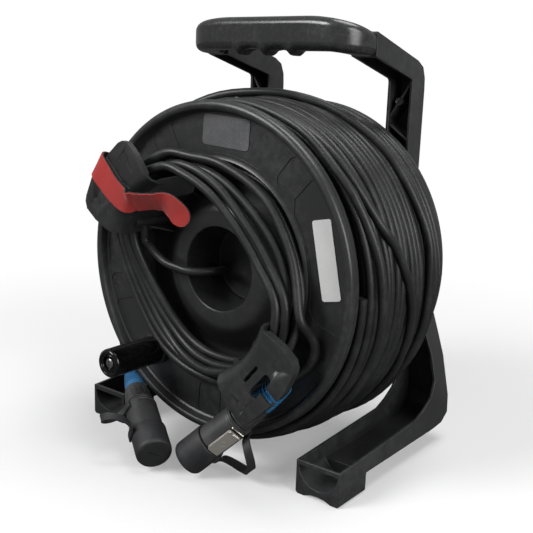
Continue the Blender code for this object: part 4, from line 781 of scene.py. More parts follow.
def gusset(angle):
    """A thin rib between a bracket's wall and the dish's shoulder."""
    x, z = on_arc(1.0, angle)
    out = Vector((x, 0.0, z))
    across = Vector((0.0, 1.0, 0.0)).cross(out)
    turn = Matrix((out, Vector((0.0, 1.0, 0.0)), -across)).transposed()
    plate = flat_piece("gusset", GUSSET_OUTLINE, -GUSSET_HALF, GUSSET_HALF)
    return laid(plate, Matrix.Translation((0.0, 0.0, AXIS_HEIGHT)) @ turn.to_4x4())


for letter, middle in zip("ab", BRACKET_ANGLES):
    bracket = edged(copied("bracket_" + letter, "bracket"), BRACKET_ROUNDING, 3, 38.0)
    marks = [facing(*on_arc(PIN_CIRCLE, middle + side * PIN_OFFSET), BRACKET_FRONT) for side in (-1, 1)]
    ring_marks(bracket, marks, PIN_RADIUS)
    ribs = [edged(gusset(middle + side * GUSSET_OFFSET), 0.0003, 2) for side in (-1, 1)]
    joined(bracket, *ribs)
    finished(bracket, "lead_bracket_" + letter, "drum", "drum_plastic", drum_finish, "bracket_" + letter)

# The two plates on the front flange: a grey one at the top for a number, and a white
# card under clear film at the right. Both are bare, glued into the sunk panels.
LABEL = 0.0006
LABEL_BACK = -(WEB_FACE - PANEL_SINK) - 0.0001
PLATE_SIZE = (0.054, 0.0275)
PLATE_MIDDLE = (0.0098, 0.1273, 3.5)
PLATE_CORNER = 0.004
CARD_SIZE = (0.019, 0.069)
CARD_MIDDLE = (0.1230, 0.0288, -12.1)
CARD_CORNER = 0.0025
CARD_REACH = PANEL_OUTER - 0.0008


def rounded_rectangle(width, height, radius, steps=6):
    outline = []
    for x, y, start in ((1, 1, 0.0), (-1, 1, 90.0), (-1, -1, 180.0), (1, -1, 270.0)):
        for step in range(steps + 1):
            dx, dy = on_arc(radius, start + 90.0 * step / steps)
            outline.append((x * (width / 2 - radius) + dx, y * (height / 2 - radius) + dy))
    return outline


label_grey, shader = new_material("label_grey")
place, scuffed = worn(label_grey, shader, (0.105, 0.106, 0.110, 1.0), (0.165, 0.166, 0.170, 1.0), 30.0, 0.8)
glossy_between(label_grey, shader, scuffed, 0.30, 0.50)
grained(label_grey, shader, place, 0.0005, 0.00002)

label_white, shader = new_material("label_white")
place, scuffed = worn(label_white, shader, (0.78, 0.78, 0.775, 1.0), (0.66, 0.66, 0.65, 1.0), 26.0, 0.6)
glossy_between(label_white, shader, scuffed, 0.22, 0.42)
grained(label_white, shader, place, 0.0009, 0.00001)
shader.inputs["Coat Weight"].default_value = 0.35
shader.inputs["Coat Roughness"].default_value = 0.12

for name, node, size, corner, middle, slot, surface in (
        ("grey_number_plate", "label_plate", PLATE_SIZE, PLATE_CORNER, PLATE_MIDDLE,
         "label_grey", label_grey),
        ("white_label_card", "label_card", CARD_SIZE, CARD_CORNER, CARD_MIDDLE,
         "label_white", label_white)):
    card = flat_piece(name, rounded_rectangle(*size, corner), 0.0, LABEL)
    x, z, tilt = middle
    here = Matrix.Translation((x, LABEL_BACK, AXIS_HEIGHT + z))
    laid(card, here @ Matrix.Rotation(math.radians(tilt), 4, "Y") @ Matrix.Rotation(math.pi / 2, 4, "X"))
    reach = turned("reach", ((0.0, 0.07), (CARD_REACH, 0.07), (CARD_REACH, 0.08), (0.0, 0.08)))
    laid(reach, Matrix.Translation((0.0, 0.0, AXIS_HEIGHT)) @ Matrix.Rotation(math.pi / 2, 4, "X"))
    modified(card, "BOOLEAN", operation="INTERSECT", object=reach, solver="EXACT")
    bpy.data.objects.remove(reach)
    edged(card, 0.00018, 2)
    finished(card, name, "drum", slot, surface, node)

# The red strap, a hook-and-loop cable tie folded over the edge of the upper bracket.
# Its face is a woven red tape, and a black pile tape is welded to its back; the other
# end of the tie, black side out, comes from under it and hangs towards the dish.
STRAP_WIDTH = 0.025
BACK_OVERLAP = 0.0008        # the backing is this much wider than the red face
TAIL_SHARE = 0.9             # the tail's width over the strap's
STRAP_STEP = 0.0011          # between two rows of a tape's mesh
STRAP_COLUMNS = 14
STRAP_END = 0.0125           # the length over which a tape's end is rounded
TAPE = 0.0007
TAPE_GAP = 0.0003
# Stations down a tape: a point of its middle, in the drum, and its width's direction.
RED_STATIONS = (
    ((-0.1068, -0.1070, 0.0905), (0.643, 0.0, 0.766)),
    ((-0.1092, -0.1135, 0.0925), (0.60, 0.0, 0.80)),
    ((-0.1080, -0.1190, 0.0916), (0.56, 0.0, 0.83)),
    ((-0.1033, -0.1214, 0.0870), (0.56, 0.0, 0.83)),
    ((-0.0952, -0.1211, 0.0788), (0.57, 0.0, 0.82)),
    ((-0.0840, -0.1212, 0.0693), (0.55, 0.0, 0.84)),
    ((-0.0692, -0.1211, 0.0611), (0.53, -0.02, 0.85)),
    ((-0.0599, -0.1181, 0.0611), (0.70, -0.16, 0.69)),
    ((-0.0508, -0.1150, 0.0619), (0.84, -0.25, 0.49)),
    ((-0.0414, -0.1123, 0.0625), (0.89, -0.26, 0.38)),
    ((-0.0307, -0.1103, 0.0622), (0.89, -0.18, 0.41)),
    ((-0.0204, -0.1090, 0.0594), (0.89, -0.04, 0.46)),
    ((-0.0139, -0.1064, 0.0530), (0.87, -0.02, 0.49)),
    ((-0.0086, -0.1040, 0.0442), (0.85, -0.04, 0.52)),
)
PILE_STATIONS = (
    ((-0.1030, -0.1190, 0.0900), (0.643, 0.0, 0.766)),
    ((-0.0930, -0.1190, 0.0815), (0.60, 0.0, 0.80)),
    ((-0.0780, -0.1187, 0.0680), (0.55, 0.0, 0.84)),
    ((-0.0706, -0.1160, 0.0634), (0.47, -0.12, 0.87)),
    ((-0.0629, -0.1098, 0.0643), (0.40, -0.21, 0.89)),
    ((-0.0546, -0.1031, 0.0681), (0.35, -0.35, 0.87)),
    ((-0.0450, -0.0979, 0.0722), (0.28, -0.45, 0.85)),
    ((-0.0355, -0.0939, 0.0750), (0.25, -0.50, 0.83)),
    ((-0.0265, -0.0909, 0.0775), (0.30, -0.55, 0.78)),
    ((-0.0140, -0.0890, 0.0800), (0.35, -0.55, 0.76)),
)


def tape_rows(stations):
    """Evenly spaced places down a tape, each with its width's direction."""
    middles = even_line([lifted(point) for point, _ in stations], STRAP_STEP)
    widths = even_line([Vector(across) for _, across in stations], 0.02)
    spots = np.linspace(0.0, 1.0, len(widths))
    share = np.linspace(0.0, 1.0, len(middles))
    turns = np.column_stack([np.interp(share, spots, widths[:, k]) for k in range(3)])
    return middles, turns


def tape(stations, width, low, high, round_end=True):
    """A flat tape between two heights over its middle line, with a place on it as its UV."""
    middles, turns = tape_rows(stations)
    count = len(middles)
    length = line_length(middles)
    begin()
    bpy.ops.mesh.primitive_grid_add(x_subdivisions=STRAP_COLUMNS, y_subdivisions=count - 1, size=2.0)
    thing = bpy.context.object
    uv = thing.data.uv_layers.active.data
    for loop in thing.data.loops:
        x, y, _ = thing.data.vertices[loop.vertex_index].co
        uv[loop.index].uv = (x * width / 2, (y + 1) / 2 * length)
    for vertex in thing.data.vertices:
        x, y, _ = vertex.co
        row = min(count - 1, round((y + 1) / 2 * (count - 1)))
        ahead = Vector(middles[min(row + 1, count - 1)]) - Vector(middles[max(row - 1, 0)])
        across = Vector(turns[row])
        across = (across - ahead * across.dot(ahead) / ahead.length_squared).normalized()
        left = length * (1.0 - row / (count - 1))
        share = 1.0
        if round_end and left < STRAP_END:
            share = math.sqrt(max(0.004, 1.0 - (1.0 - left / STRAP_END) ** 2))
        normal = ahead.cross(across).normalized()
        spot = Vector(middles[row]) + across * (x * share * width / 2)
        vertex.co = spot + normal * (low + high) / 2
    modified(thing, "SOLIDIFY", thickness=high - low, offset=0.0, use_even_offset=True)
    return edged(thing, 0.00016, 2, 50.0)


def woven(made, shader, colour, shade, pitch, depth):
    """A fine twill from the tape's own UV: slanting ribs and the threads across them, with painted shade in
    the weave's hollows.
    """
    place = add_node(made, "ShaderNodeUVMap")
    heights = []
    for slant, scale in ((45.0, 1.0), (-52.0, 1.35)):
        turn = add_node(made, "ShaderNodeVectorRotate", {"rotation_type": "Z_AXIS"},
                        Angle=math.radians(slant))
        wave = add_node(made, "ShaderNodeTexWave", Scale=scale / pitch / 20.0 * 2 * math.pi,
                        Distortion=0.6, Detail=1.0)
        join(made, place.outputs["UV"], turn.inputs["Vector"])
        join(made, turn.outputs["Vector"], wave.inputs["Vector"])
        heights.append(wave.outputs["Fac"])
    weave = add_node(made, "ShaderNodeMath", {"operation": "MULTIPLY"})
    join(made, heights[0], weave.inputs[0])
    join(made, heights[1], weave.inputs[1])
    fuzz = add_node(made, "ShaderNodeTexNoise", Scale=1500.0, Detail=3.0)
    tone = add_node(made, "ShaderNodeMath", {"operation": "MULTIPLY_ADD"})
    tone.inputs[1].default_value = 0.5
    join(made, fuzz.outputs["Fac"], tone.inputs[0])
    join(made, weave.outputs[0], tone.inputs[2])
    # The colour follows the weave's heights: its hollows get the darker shade colour as painted shade, and
    # the fuzz varies it at random.
    mix = add_node(made, "ShaderNodeMix", {"data_type": "RGBA"})
    mix.inputs[6].default_value = shade
    mix.inputs[7].default_value = colour
    join(made, tone.outputs[0], mix.inputs["Factor"])
    join(made, mix.outputs[2], shader.inputs["Base Color"])
    bump = add_node(made, "ShaderNodeBump", Strength=0.8, Distance=depth)
    join(made, tone.outputs[0], bump.inputs["Height"])
    join(made, bump.outputs["Normal"], shader.inputs["Normal"])



# Each tape's second, darker colour is the painted shade in its weave's hollows.
strap_red, shader = new_material("strap_red")
woven(strap_red, shader, (0.62, 0.052, 0.042, 1.0), (0.36, 0.012, 0.012, 1.0), 0.0010, 0.00018)
shader.inputs["Roughness"].default_value = 0.78
shader.inputs["Sheen Weight"].default_value = 0.25
shader.inputs["Sheen Roughness"].default_value = 0.4

strap_black, shader = new_material("strap_black")
woven(strap_black, shader, (0.034, 0.035, 0.037, 1.0), (0.006, 0.006, 0.006, 1.0), 0.0016, 0.00035)
shader.inputs["Roughness"].default_value = 0.95
shader.inputs["Sheen Weight"].default_value = 0.15
shader.inputs["Sheen Roughness"].default_value = 0.5

red_tape = tape(RED_STATIONS, STRAP_WIDTH, 0.0, TAPE)
finished(red_tape, "strap_red_face", "drum", "strap_red", strap_red, "strap")
pile_back = tape(RED_STATIONS, STRAP_WIDTH + BACK_OVERLAP, -TAPE - TAPE_GAP, -TAPE_GAP / 3)
finished(pile_back, "strap_pile_back", "drum", "strap_black", strap_black, "strap")
pile_tape = tape(PILE_STATIONS, STRAP_WIDTH * TAIL_SHARE, -TAPE / 2, TAPE / 2)
finished(pile_tape, "strap_pile_tail", "drum", "strap_black", strap_black, "strap_loop")

# The connectors, one on each end of the cable: a ribbed blue boot, a fluted clamping nut
# and a round shell, all moulded, and the ferrule insert that plugs in. A turned shape is
# closed up for each; the flutes and the flat for the latch are cut into it.
OUTER_PLUG_LATCH = (-0.50, -0.31, -0.81)
INNER_PLUG_LATCH = (0.635, -0.722, -0.272)
BOOT_END = 0.029
NUT_END = 0.0545
CAP_SEAM = 0.0913
SHELL_RADIUS = 0.0154
NOSE_RADIUS = 0.0128
CAP_RADIUS = 0.0170
BOOT_RIBS = 6
RIB_PITCH = 0.0034
FLUTES = 14
ROUND_STEPS = 96
FERRULE_CIRCLE = 0.0046
LATCH_EDGE = ((0.00625, 0.0145), (0.00625, -0.0118), (0.00605, -0.0131),
              (0.0054, -0.0139), (0.0043, -0.0143))
TIGHT = CABLE / 2 + 0.0004
CONNECTORS = (      # the last two are the radius of the boot's tip and how much it swells
    ("outer_plug", OUTER_PLUG_END, OUTER_PLUG_LINE, OUTER_PLUG_LATCH, 0.0066, 0.0034),
    ("inner_plug", INNER_PLUG_END, INNER_PLUG_LINE, INNER_PLUG_LATCH, 0.0084, 0.0032),
)


def plug_place(end, direction, up):
    """A connector's own place: Z from its boot's tip towards the cap, Y towards its latch."""
    tip, along = plug_line(end, direction)
    raised = Vector(up)
    raised = (raised - along * raised.dot(along)).normalized()
    turn = Matrix((raised.cross(along), raised, along)).transposed()
    return Matrix.Translation(tip) @ turn.to_4x4()


def block(low, high):
    """A box between two corners, as a tool to cut with or a plate to round."""
    begin()
    bpy.ops.mesh.primitive_cube_add(size=1.0)
    thing = bpy.context.object
    thing.scale = Vector(high) - Vector(low)
    return laid(thing, Matrix.Translation((Vector(high) + Vector(low)) / 2))


def boot_profile(tip, swell):
    """A boot's rings, from its tip outward, and the plain end that meets the nut."""
    points = [(TIGHT, 0.0006), (TIGHT + 0.0006, 0.0), (tip - 0.0006, 0.0), (tip, 0.0006)]
    for rib in range(BOOT_RIBS):
        start = 0.0030 + rib * RIB_PITCH
        radius = tip + swell * ((rib + 0.5) / BOOT_RIBS) ** 0.6
        points += [(radius - 0.0002, start - 0.0003), (radius - 0.0010, start),
                   (radius - 0.0010, start + 0.0009), (radius, start + 0.0012),
                   (radius + 0.0002, start + 0.0020)]
    points += [(tip + swell, 0.0240), (tip + swell + 0.0002, BOOT_END - 0.0008),
               (tip + swell - 0.0002, BOOT_END - 0.0003), (TIGHT, BOOT_END - 0.0003),
               (TIGHT, 0.0006)]
    return points


def fluted_nut():
    """A turned nut with a tapering nose, and rounded grooves sunk along its barrel."""
    nut = turned("nut", (
        (TIGHT + 0.001, BOOT_END + 0.0004), (0.0104, BOOT_END), (0.0112, BOOT_END + 0.0006),
        (0.0118, 0.0325), (0.0126, 0.0375), (0.0133, 0.0440), (0.0136, 0.0500), (0.0136, 0.0512),
        (0.0129, 0.0516), (0.0129, 0.0524), (0.0135, 0.0528), (0.0135, 0.0538),
        (0.0130, NUT_END - 0.0003), (TIGHT + 0.001, NUT_END - 0.0003), (TIGHT + 0.001, BOOT_END + 0.0004)),
        ROUND_STEPS)
    grooves = []
    for flute in range(FLUTES):
        turn = 2 * math.pi * flute / FLUTES
        groove = laid(turned("groove", ((0.0, 0.0), (0.0006, 0.0003), (0.0010, 0.0012), (0.0010, 0.0118),
                                        (0.0006, 0.0127), (0.0, 0.0130)), 16), Matrix.Identity(4))
        here = Matrix.Rotation(turn, 4, "Z") @ Matrix.Translation((0.0127, 0.0, 0.0350))
        grooves.append(laid(groove, here @ Matrix.Rotation(math.radians(6.0), 4, "Y")))
    return smooth(cut(nut, joined(*grooves)), 32.0)


def shell():
    """The shell with its collar rings, the flat for the latch and its open nose."""
    body = turned("shell", (
        (TIGHT + 0.001, NUT_END), (0.0144, NUT_END), (0.0150, NUT_END + 0.0005), (0.0150, 0.0556),
        (0.0146, 0.0559), (0.0146, 0.0564), (0.0152, 0.0567), (SHELL_RADIUS, 0.0572), (SHELL_RADIUS, 0.0588),
        (0.0150, 0.0591), (0.0150, 0.0596), (0.0153, 0.0600), (0.0153, 0.0896), (0.0149, 0.0904),
        (NOSE_RADIUS, 0.0907), (NOSE_RADIUS, 0.1146), (0.0125, 0.1150), (0.0116, 0.1150),
        (0.0113, 0.1146), (0.0113, 0.1034), (TIGHT + 0.001, 0.1030), (TIGHT + 0.001, NUT_END)), ROUND_STEPS)
    cut(body, block((-0.0071, 0.0141, 0.0597), (0.0071, 0.020, 0.0920)))
    keyway = block((-0.0016, -0.0135, 0.1065), (0.0016, -0.0110, 0.1160))
    return edged(cut(body, keyway), 0.00022, 2, 40.0)


def ferrule_place(corner, height):
    """Where one of the four ferrules stands in the insert."""
    turn = math.radians(45.0 + 90.0 * corner)
    across, up = FERRULE_CIRCLE * math.cos(turn), FERRULE_CIRCLE * math.sin(turn)
    return Matrix.Translation((across, up, height))


def insert():
    """The face of the connector: four ferrules in a round block."""
    face = turned("insert", ((0.0, 0.0930), (0.0049, 0.0930), (0.0049, 0.1036), (0.0106, 0.1038),
                             (0.0110, 0.1042), (0.0110, 0.1122), (0.0105, 0.1128), (0.0, 0.1128)), 64)
    holes = []
    for corner in range(4):
        hole = turned("hole", ((0.0, 0.0), (0.0021, 0.0), (0.0021, 0.004), (0.0, 0.004)), 28)
        holes.append(laid(hole, ferrule_place(corner, 0.1100)))
    edged(cut(face, joined(*holes)), 0.00018, 2, 40.0)
    ferrules = []
    for corner in range(4):
        ferrule = turned("ferrule", ((0.0, 0.1099), (0.0013, 0.1099), (0.0013, 0.1130), (0.0010, 0.1133),
                                     (0.0002, 0.1133), (0.0002, 0.1128), (0.0, 0.1128)), 24)
        ferrules.append(laid(ferrule, ferrule_place(corner, 0.0)))
    return smooth(joined(face, *ferrules), 40.0)


def latch():
    """A bent nickel plate: rounded at the cap, turned down at its sides and round a pin."""
    outline = [(-x, y) for x, y in LATCH_EDGE] + list(reversed(LATCH_EDGE))
    plate = flat_piece("latch", outline, -0.0007, 0.0007)
    here = Matrix.Translation((0.0, 0.0164, 0.0755)) @ Matrix.Rotation(-math.pi / 2, 4, "X")
    laid(plate, here)
    ring = turned("mark", ((0.0024, -0.00012), (0.0027, -0.00012), (0.0027, 0.001), (0.0024, 0.001),
                           (0.0024, -0.00012)), 40)
    laid(ring, Matrix.Translation((0.0, 0.0171, 0.0765)) @ Matrix.Rotation(-math.pi / 2, 4, "X"))
    edged(cut(plate, ring), 0.0004, 3, 50.0)
    lip = edged(block((-0.0062, 0.0161, 0.0612), (0.0062, 0.0186, 0.0632)), 0.0005, 3)
    cut(lip, block((-0.0036, 0.0173, 0.0590), (-0.0020, 0.0200, 0.0650)))
    sides = [edged(block((side * 0.0059 - 0.0004, 0.0143, 0.0625), (side * 0.0059 + 0.0004, 0.0162, 0.0880)),
                   0.00015, 2) for side in (-1, 1)]
    pin = laid(turned("pin", ((0.0, -0.0070), (0.0007, -0.0070), (0.0010, -0.0067), (0.0010, -0.0059),
                              (0.0006, -0.0056), (0.0006, 0.0056), (0.0010, 0.0059), (0.0010, 0.0067),
                              (0.0007, 0.0070), (0.0, 0.0070)), 24), Matrix.Rotation(math.pi / 2, 4, "Y"))
    laid(pin, Matrix.Translation((0.0, 0.0158, 0.0583)))
    return smooth(joined(plate, lip, *sides, pin), 40.0)


def cap():
    """The soft dust cap: a bead round its mouth and a slit in its end."""
    thing = turned("cap", (
        (0.0, 0.1193), (NOSE_RADIUS + 0.0001, 0.1193), (NOSE_RADIUS + 0.0001, CAP_SEAM + 0.0010),
        (NOSE_RADIUS + 0.0006, CAP_SEAM), (0.0162, CAP_SEAM), (0.0168, CAP_SEAM + 0.0006),
        (CAP_RADIUS, CAP_SEAM + 0.0016),
        (0.0168, 0.1010), (0.0168, 0.1150), (0.0168, 0.1180), (0.0165, 0.1198), (0.0158, 0.1211),
        (0.0147, 0.1218), (0.0132, 0.1220), (0.0, 0.1220)), ROUND_STEPS)
    return smooth(cut(thing, block((-0.0082, -0.0004, 0.1212), (0.0082, 0.0004, 0.1230))), 35.0)


shell_finish, shader = new_material("connector_shell")
place, rubbing = worn(shell_finish, shader, (0.034, 0.0345, 0.036, 1.0),
                      (0.085, 0.086, 0.088, 1.0), 45.0, 0.6)
glossy_between(shell_finish, shader, rubbing, 0.42, 0.58)
grained(shell_finish, shader, place, 0.0004, 0.00003)
boot_finish, shader = new_material("boot_blue")
place, rubbing = worn(boot_finish, shader, (0.026, 0.150, 0.330, 1.0), (0.070, 0.230, 0.410, 1.0), 60.0, 0.7)
glossy_between(boot_finish, shader, rubbing, 0.38, 0.55)
grained(boot_finish, shader, place, 0.0004, 0.00003)
insert_finish, shader = new_material("insert_grey")
place, rubbing = worn(insert_finish, shader, (0.22, 0.22, 0.23, 1.0), (0.30, 0.30, 0.31, 1.0), 80.0, 0.5)
glossy_between(insert_finish, shader, rubbing, 0.30, 0.45)
grained(insert_finish, shader, place, 0.0003, 0.00002)
nickel_finish, shader = new_material("latch_nickel")
place, rubbing = worn(nickel_finish, shader, (0.80, 0.76, 0.70, 1.0), (0.66, 0.62, 0.57, 1.0), 120.0, 0.8)
glossy_between(nickel_finish, shader, rubbing, 0.42, 0.55)
grained(nickel_finish, shader, place, 0.0006, 0.00002)
shader.inputs["Metallic"].default_value = 1.0

plug_pieces = {}
for word, end, direction, up, tip_radius, swell in CONNECTORS:
    here = plug_place(end, direction, up)
    boot = smooth(turned("boot", boot_profile(tip_radius, swell), 72), 40.0)
    made = (
        (boot, "boot", "drum", "boot_blue", boot_finish),
        (fluted_nut(), "nut", "drum", "connector_shell", shell_finish),
        (shell(), "body", "drum", "connector_shell", shell_finish),
        (insert(), "fibre_insert", "drum", "insert_grey", insert_finish),
        (latch(), "latch", word.split("_")[0] + "_latch", "latch_nickel", nickel_finish),
        (cap(), "cap", word.split("_")[0] + "_cap", "soft_rubber", rubber_finish),
    )
    plug_pieces[word] = []
    for piece, part, body, slot, finish in made:
        laid(piece, here)
        finished(piece, word + "_moulded_" + part, body, slot, finish, word + "_" + part)
        if part != "latch":
            plug_pieces[word].append(piece)

# The lanyards: each a soft rubber band, moulded flat, that leaves the shell's collar, runs
# round in a loose loop and lands on the cap's mouth. The band bends when its cap is pulled
# off; here it is one fixed piece, in no body.
LANYARD_WIDTH = 0.0078
LANYARD = 0.0019
LANYARD_LOOP = 0.0125        # radius of the loop
LANYARD_START = 0.0600       # along the connector from its boot's tip
LANYARD_END = 0.0950
LANYARD_WRAP = 26.0          # degrees of the shell under each end of the band
LANYARDS = (
    ("outer_plug", OUTER_PLUG_END, OUTER_PLUG_LINE, (-0.447, -0.862, 0.255), 1),
    ("inner_plug", INNER_PLUG_END, INNER_PLUG_LINE, (0.676, 0.154, -0.720), 1),
)


def lanyard_stations(tip, along, out, hand):
    """The loop's places, from the collar out and back to the cap, all from the drum's line."""
    side = along.cross(out) * hand
    base = tip - Vector((0.0, 0.0, AXIS_HEIGHT))
    rest = LANYARD / 2 + 0.0002
    stations = []
    for turn in (-LANYARD_WRAP, -LANYARD_WRAP / 2):
        x, y = on_arc(SHELL_RADIUS + rest, turn)
        stations.append((base + along * LANYARD_START + out * x + side * y, along))
    for step in range(25):
        share = step / 24
        angle = 2 * math.pi * share
        ahead = LANYARD_START + (LANYARD_END - LANYARD_START) * (share - math.sin(angle) / (2 * math.pi))
        seat = SHELL_RADIUS + (CAP_RADIUS - SHELL_RADIUS) * share + rest
        x = seat + LANYARD_LOOP * (1 - math.cos(angle))
        stations.append((base + along * ahead + out * x + side * LANYARD_LOOP * math.sin(angle), along))
    for turn in (LANYARD_WRAP / 2, LANYARD_WRAP):
        x, y = on_arc(CAP_RADIUS + rest, turn)
        stations.append((base + along * LANYARD_END + out * x + side * y, along))
    return stations


for word, end, direction, loop, hand in LANYARDS:
    tip, along = plug_line(end, direction)
    out = Vector(loop)
    out = (out - along * out.dot(along)).normalized()
    band = tape(lanyard_stations(tip, along, out, hand), LANYARD_WIDTH,
                -LANYARD / 2, LANYARD / 2, False)
    band.name = word + "_lanyard_band"
    band.data.materials.clear()
    band.data.materials.append(rubber_finish)
    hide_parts(word + "_lanyard")
    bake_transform(band)

# The rear frame: two mirrored mouldings, each a foot, a leg, an upright and an arm in one
# open channel, with crossed ribs and a screw boss where the arm bends back. The solids'
# own shape is kept, with its mould edges rounded, and the ribs are joined to it.
FRAME_PLASTIC = (0.0215, 0.0220, 0.0230, 1.0)
FRAME_DUSTY = (0.066, 0.067, 0.070, 1.0)
RIB_HALF = 0.0011
RIB_FRONT = 0.0970
RIB_BACK = 0.1182
RIBS = (             # as (x, z) from the drum's line: both ends of a rib across the channel
    ((0.0985, 0.1765), (0.0755, 0.1400)),
    ((0.0755, 0.1350), (0.0985, 0.1190)),
    ((0.0985, 0.0900), (0.0755, 0.0600)),
)
RIB_BOSS = (0.0862, 0.1570)

frame_finish, shader = new_material("frame_plastic")
place, dusty = worn(frame_finish, shader, FRAME_PLASTIC, FRAME_DUSTY, 9.0, 0.55)
glossy_between(frame_finish, shader, dusty, 0.38, 0.56)
grained(frame_finish, shader, place, 0.0007, 0.00005)
gloss_finish, shader = new_material("gloss_plastic")
place, dusty = worn(gloss_finish, shader, (0.0022, 0.0023, 0.0025, 1.0),
                    (0.012, 0.0125, 0.013, 1.0), 16.0, 0.45)
glossy_between(gloss_finish, shader, dusty, 0.14, 0.26)
grained(gloss_finish, shader, place, 0.0016, 0.00002)
shader.inputs["Specular IOR Level"].default_value = 0.35
grip_finish, shader = new_material("gloss_plastic_handled")
place, dusty = worn(grip_finish, shader, (0.0200, 0.0204, 0.0212, 1.0), (0.060, 0.061, 0.063, 1.0), 14.0, 0.6)
glossy_between(grip_finish, shader, dusty, 0.22, 0.38)
grained(grip_finish, shader, place, 0.0016, 0.00002)
shader.inputs["Specular IOR Level"].default_value = 0.6
steel_finish, shader = new_material("zinc_steel")
place, rubbing = worn(steel_finish, shader, (0.30, 0.30, 0.30, 1.0), (0.20, 0.20, 0.20, 1.0), 90.0, 0.9)
glossy_between(steel_finish, shader, rubbing, 0.26, 0.48)
grained(steel_finish, shader, place, 0.0005, 0.00002)
shader.inputs["Metallic"].default_value = 1.0
bronze_finish, shader = new_material("bush_bronze")
place, rubbing = worn(bronze_finish, shader, (0.45, 0.30, 0.14, 1.0), (0.25, 0.17, 0.09, 1.0), 90.0, 0.9)
glossy_between(bronze_finish, shader, rubbing, 0.32, 0.50)
grained(bronze_finish, shader, place, 0.0003, 0.00003)
shader.inputs["Metallic"].default_value = 1.0


def cross_rib(side, first, last):
    """A thin plate that runs slanting from wall to wall across the channel."""
    x, z = first
    across, along = last[0] - x, last[1] - z
    plate = block((0.0, RIB_FRONT, -RIB_HALF), (math.hypot(across, along), RIB_BACK, RIB_HALF))
    edged(plate, 0.0004, 2)
    laid(plate, Matrix.Rotation(-math.atan2(along, across), 4, "Y"))
    laid(plate, Matrix.Translation((x, 0.0, AXIS_HEIGHT + z)))
    if side < 0:
        laid(plate, Matrix.Rotation(math.pi, 4, "Z"))
        laid(plate, Matrix.Translation((0.0, RIB_FRONT + RIB_BACK, 0.0)))
    return plate


for side, word in ((-1, "left"), (1, "right")):
    upright = edged(copied(word + "_side_frame", "upright"), 0.0009, 3, 30.0)
    ribs = [cross_rib(side, first, last) for first, last in RIBS]
    boss = turned("boss", ((0.0, -RIB_BACK), (0.0042, -RIB_BACK), (0.0038, 0.0006 - RIB_FRONT),
                           (0.0034, -RIB_FRONT), (0.0, -RIB_FRONT)), 40)
    laid(boss, Matrix.Rotation(math.pi / 2, 4, "X"))
    laid(boss, Matrix.Translation((side * RIB_BOSS[0], 0.0, AXIS_HEIGHT + RIB_BOSS[1])))
    joined(upright, *ribs, smooth(boss, 40.0))
    finished(upright, word + "_upright_and_foot", "frame", "frame_plastic", frame_finish,
             word + "_side_frame")

cross_plate = edged(copied("frame_hub", "cross_plate"), 0.0008, 3, 30.0)
finished(cross_plate, "frame_cross_plate", "frame", "frame_plastic", frame_finish, "frame_hub")

# The grip: one glossy moulding with soft corners, three finger lobes under its bar and
# ends that turn back to meet the arms. Its sections are swept along a bent line.
GRIP_ARM = 0.0870            # the middle of the arms, to each side
GRIP_SEAM = 0.0242
GRIP_LINE = -0.0020
GRIP_BEND = 0.0200
GRIP_DEPTH = 0.0260
ARM_WIDTH = 0.0270
GRIP_TOP = 0.2305
GRIP_LOW = 0.2000
SEAM_TOP = 0.2188
SEAM_LOW = 0.1968
LOBE_PITCH = 0.0310
LOBE_DROP = 0.0046
GRIP_CORNER = 0.0078


def rounded_rise(share):
    """A rise that is steep at first and levels out smoothly."""
    return 1.0 - (1.0 - share) ** 2.2


def grip_rows():
    """Half of the grip, as rows of centre, outward direction, low, high, depth and drop."""
    rows = [(Vector((GRIP_ARM, GRIP_SEAM, 0.0)), Vector((1.0, 0.0, 0.0)), SEAM_LOW, SEAM_TOP, ARM_WIDTH, 0.0)]
    for step in range(13):
        angle = math.radians(90.0 * step / 12)
        out = Vector((math.cos(angle), -math.sin(angle), 0.0))
        centre = Vector((GRIP_ARM - GRIP_BEND, GRIP_LINE + GRIP_BEND, 0.0)) + out * GRIP_BEND
        share = (step + 1) / 13
        rows.append((centre, out, SEAM_LOW + (GRIP_LOW - SEAM_LOW) * share,
                     SEAM_TOP + (GRIP_TOP - SEAM_TOP) * rounded_rise(share * 0.62),
                     ARM_WIDTH + (GRIP_DEPTH - ARM_WIDTH) * share, 0.0))
    for step in range(1, 35):
        x = (GRIP_ARM - GRIP_BEND) * (1 - step / 34)
        wave = math.cos(2 * math.pi * x / LOBE_PITCH)
        drop = LOBE_DROP * max(0.0, wave) ** 3 - 0.0010 * max(0.0, -wave)
        if x > LOBE_PITCH * 1.25:
            drop = 0.0
        top = SEAM_TOP + (GRIP_TOP - SEAM_TOP) * rounded_rise(min(1.0, 0.62 + 0.38 * step / 12))
        rows.append((Vector((x, GRIP_LINE, 0.0)), Vector((0.0, -1.0, 0.0)), GRIP_LOW, top, GRIP_DEPTH, drop))
    return rows


def soft_section(row):
    """A section of the grip with round corners, lowered along its belly by the drop."""
    centre, out, low, high, depth, drop = row
    middle = (low + high) / 2
    ring = []
    for offset, height in rounded_rectangle(depth, high - low, GRIP_CORNER, 7):
        share = max(0.0, min(1.0, (middle - (middle + height)) / ((high - low) / 2)))
        rise = Vector((0.0, 0.0, AXIS_HEIGHT + middle + height - drop * share ** 2))
        ring.append(centre + out * offset + rise)
    return ring


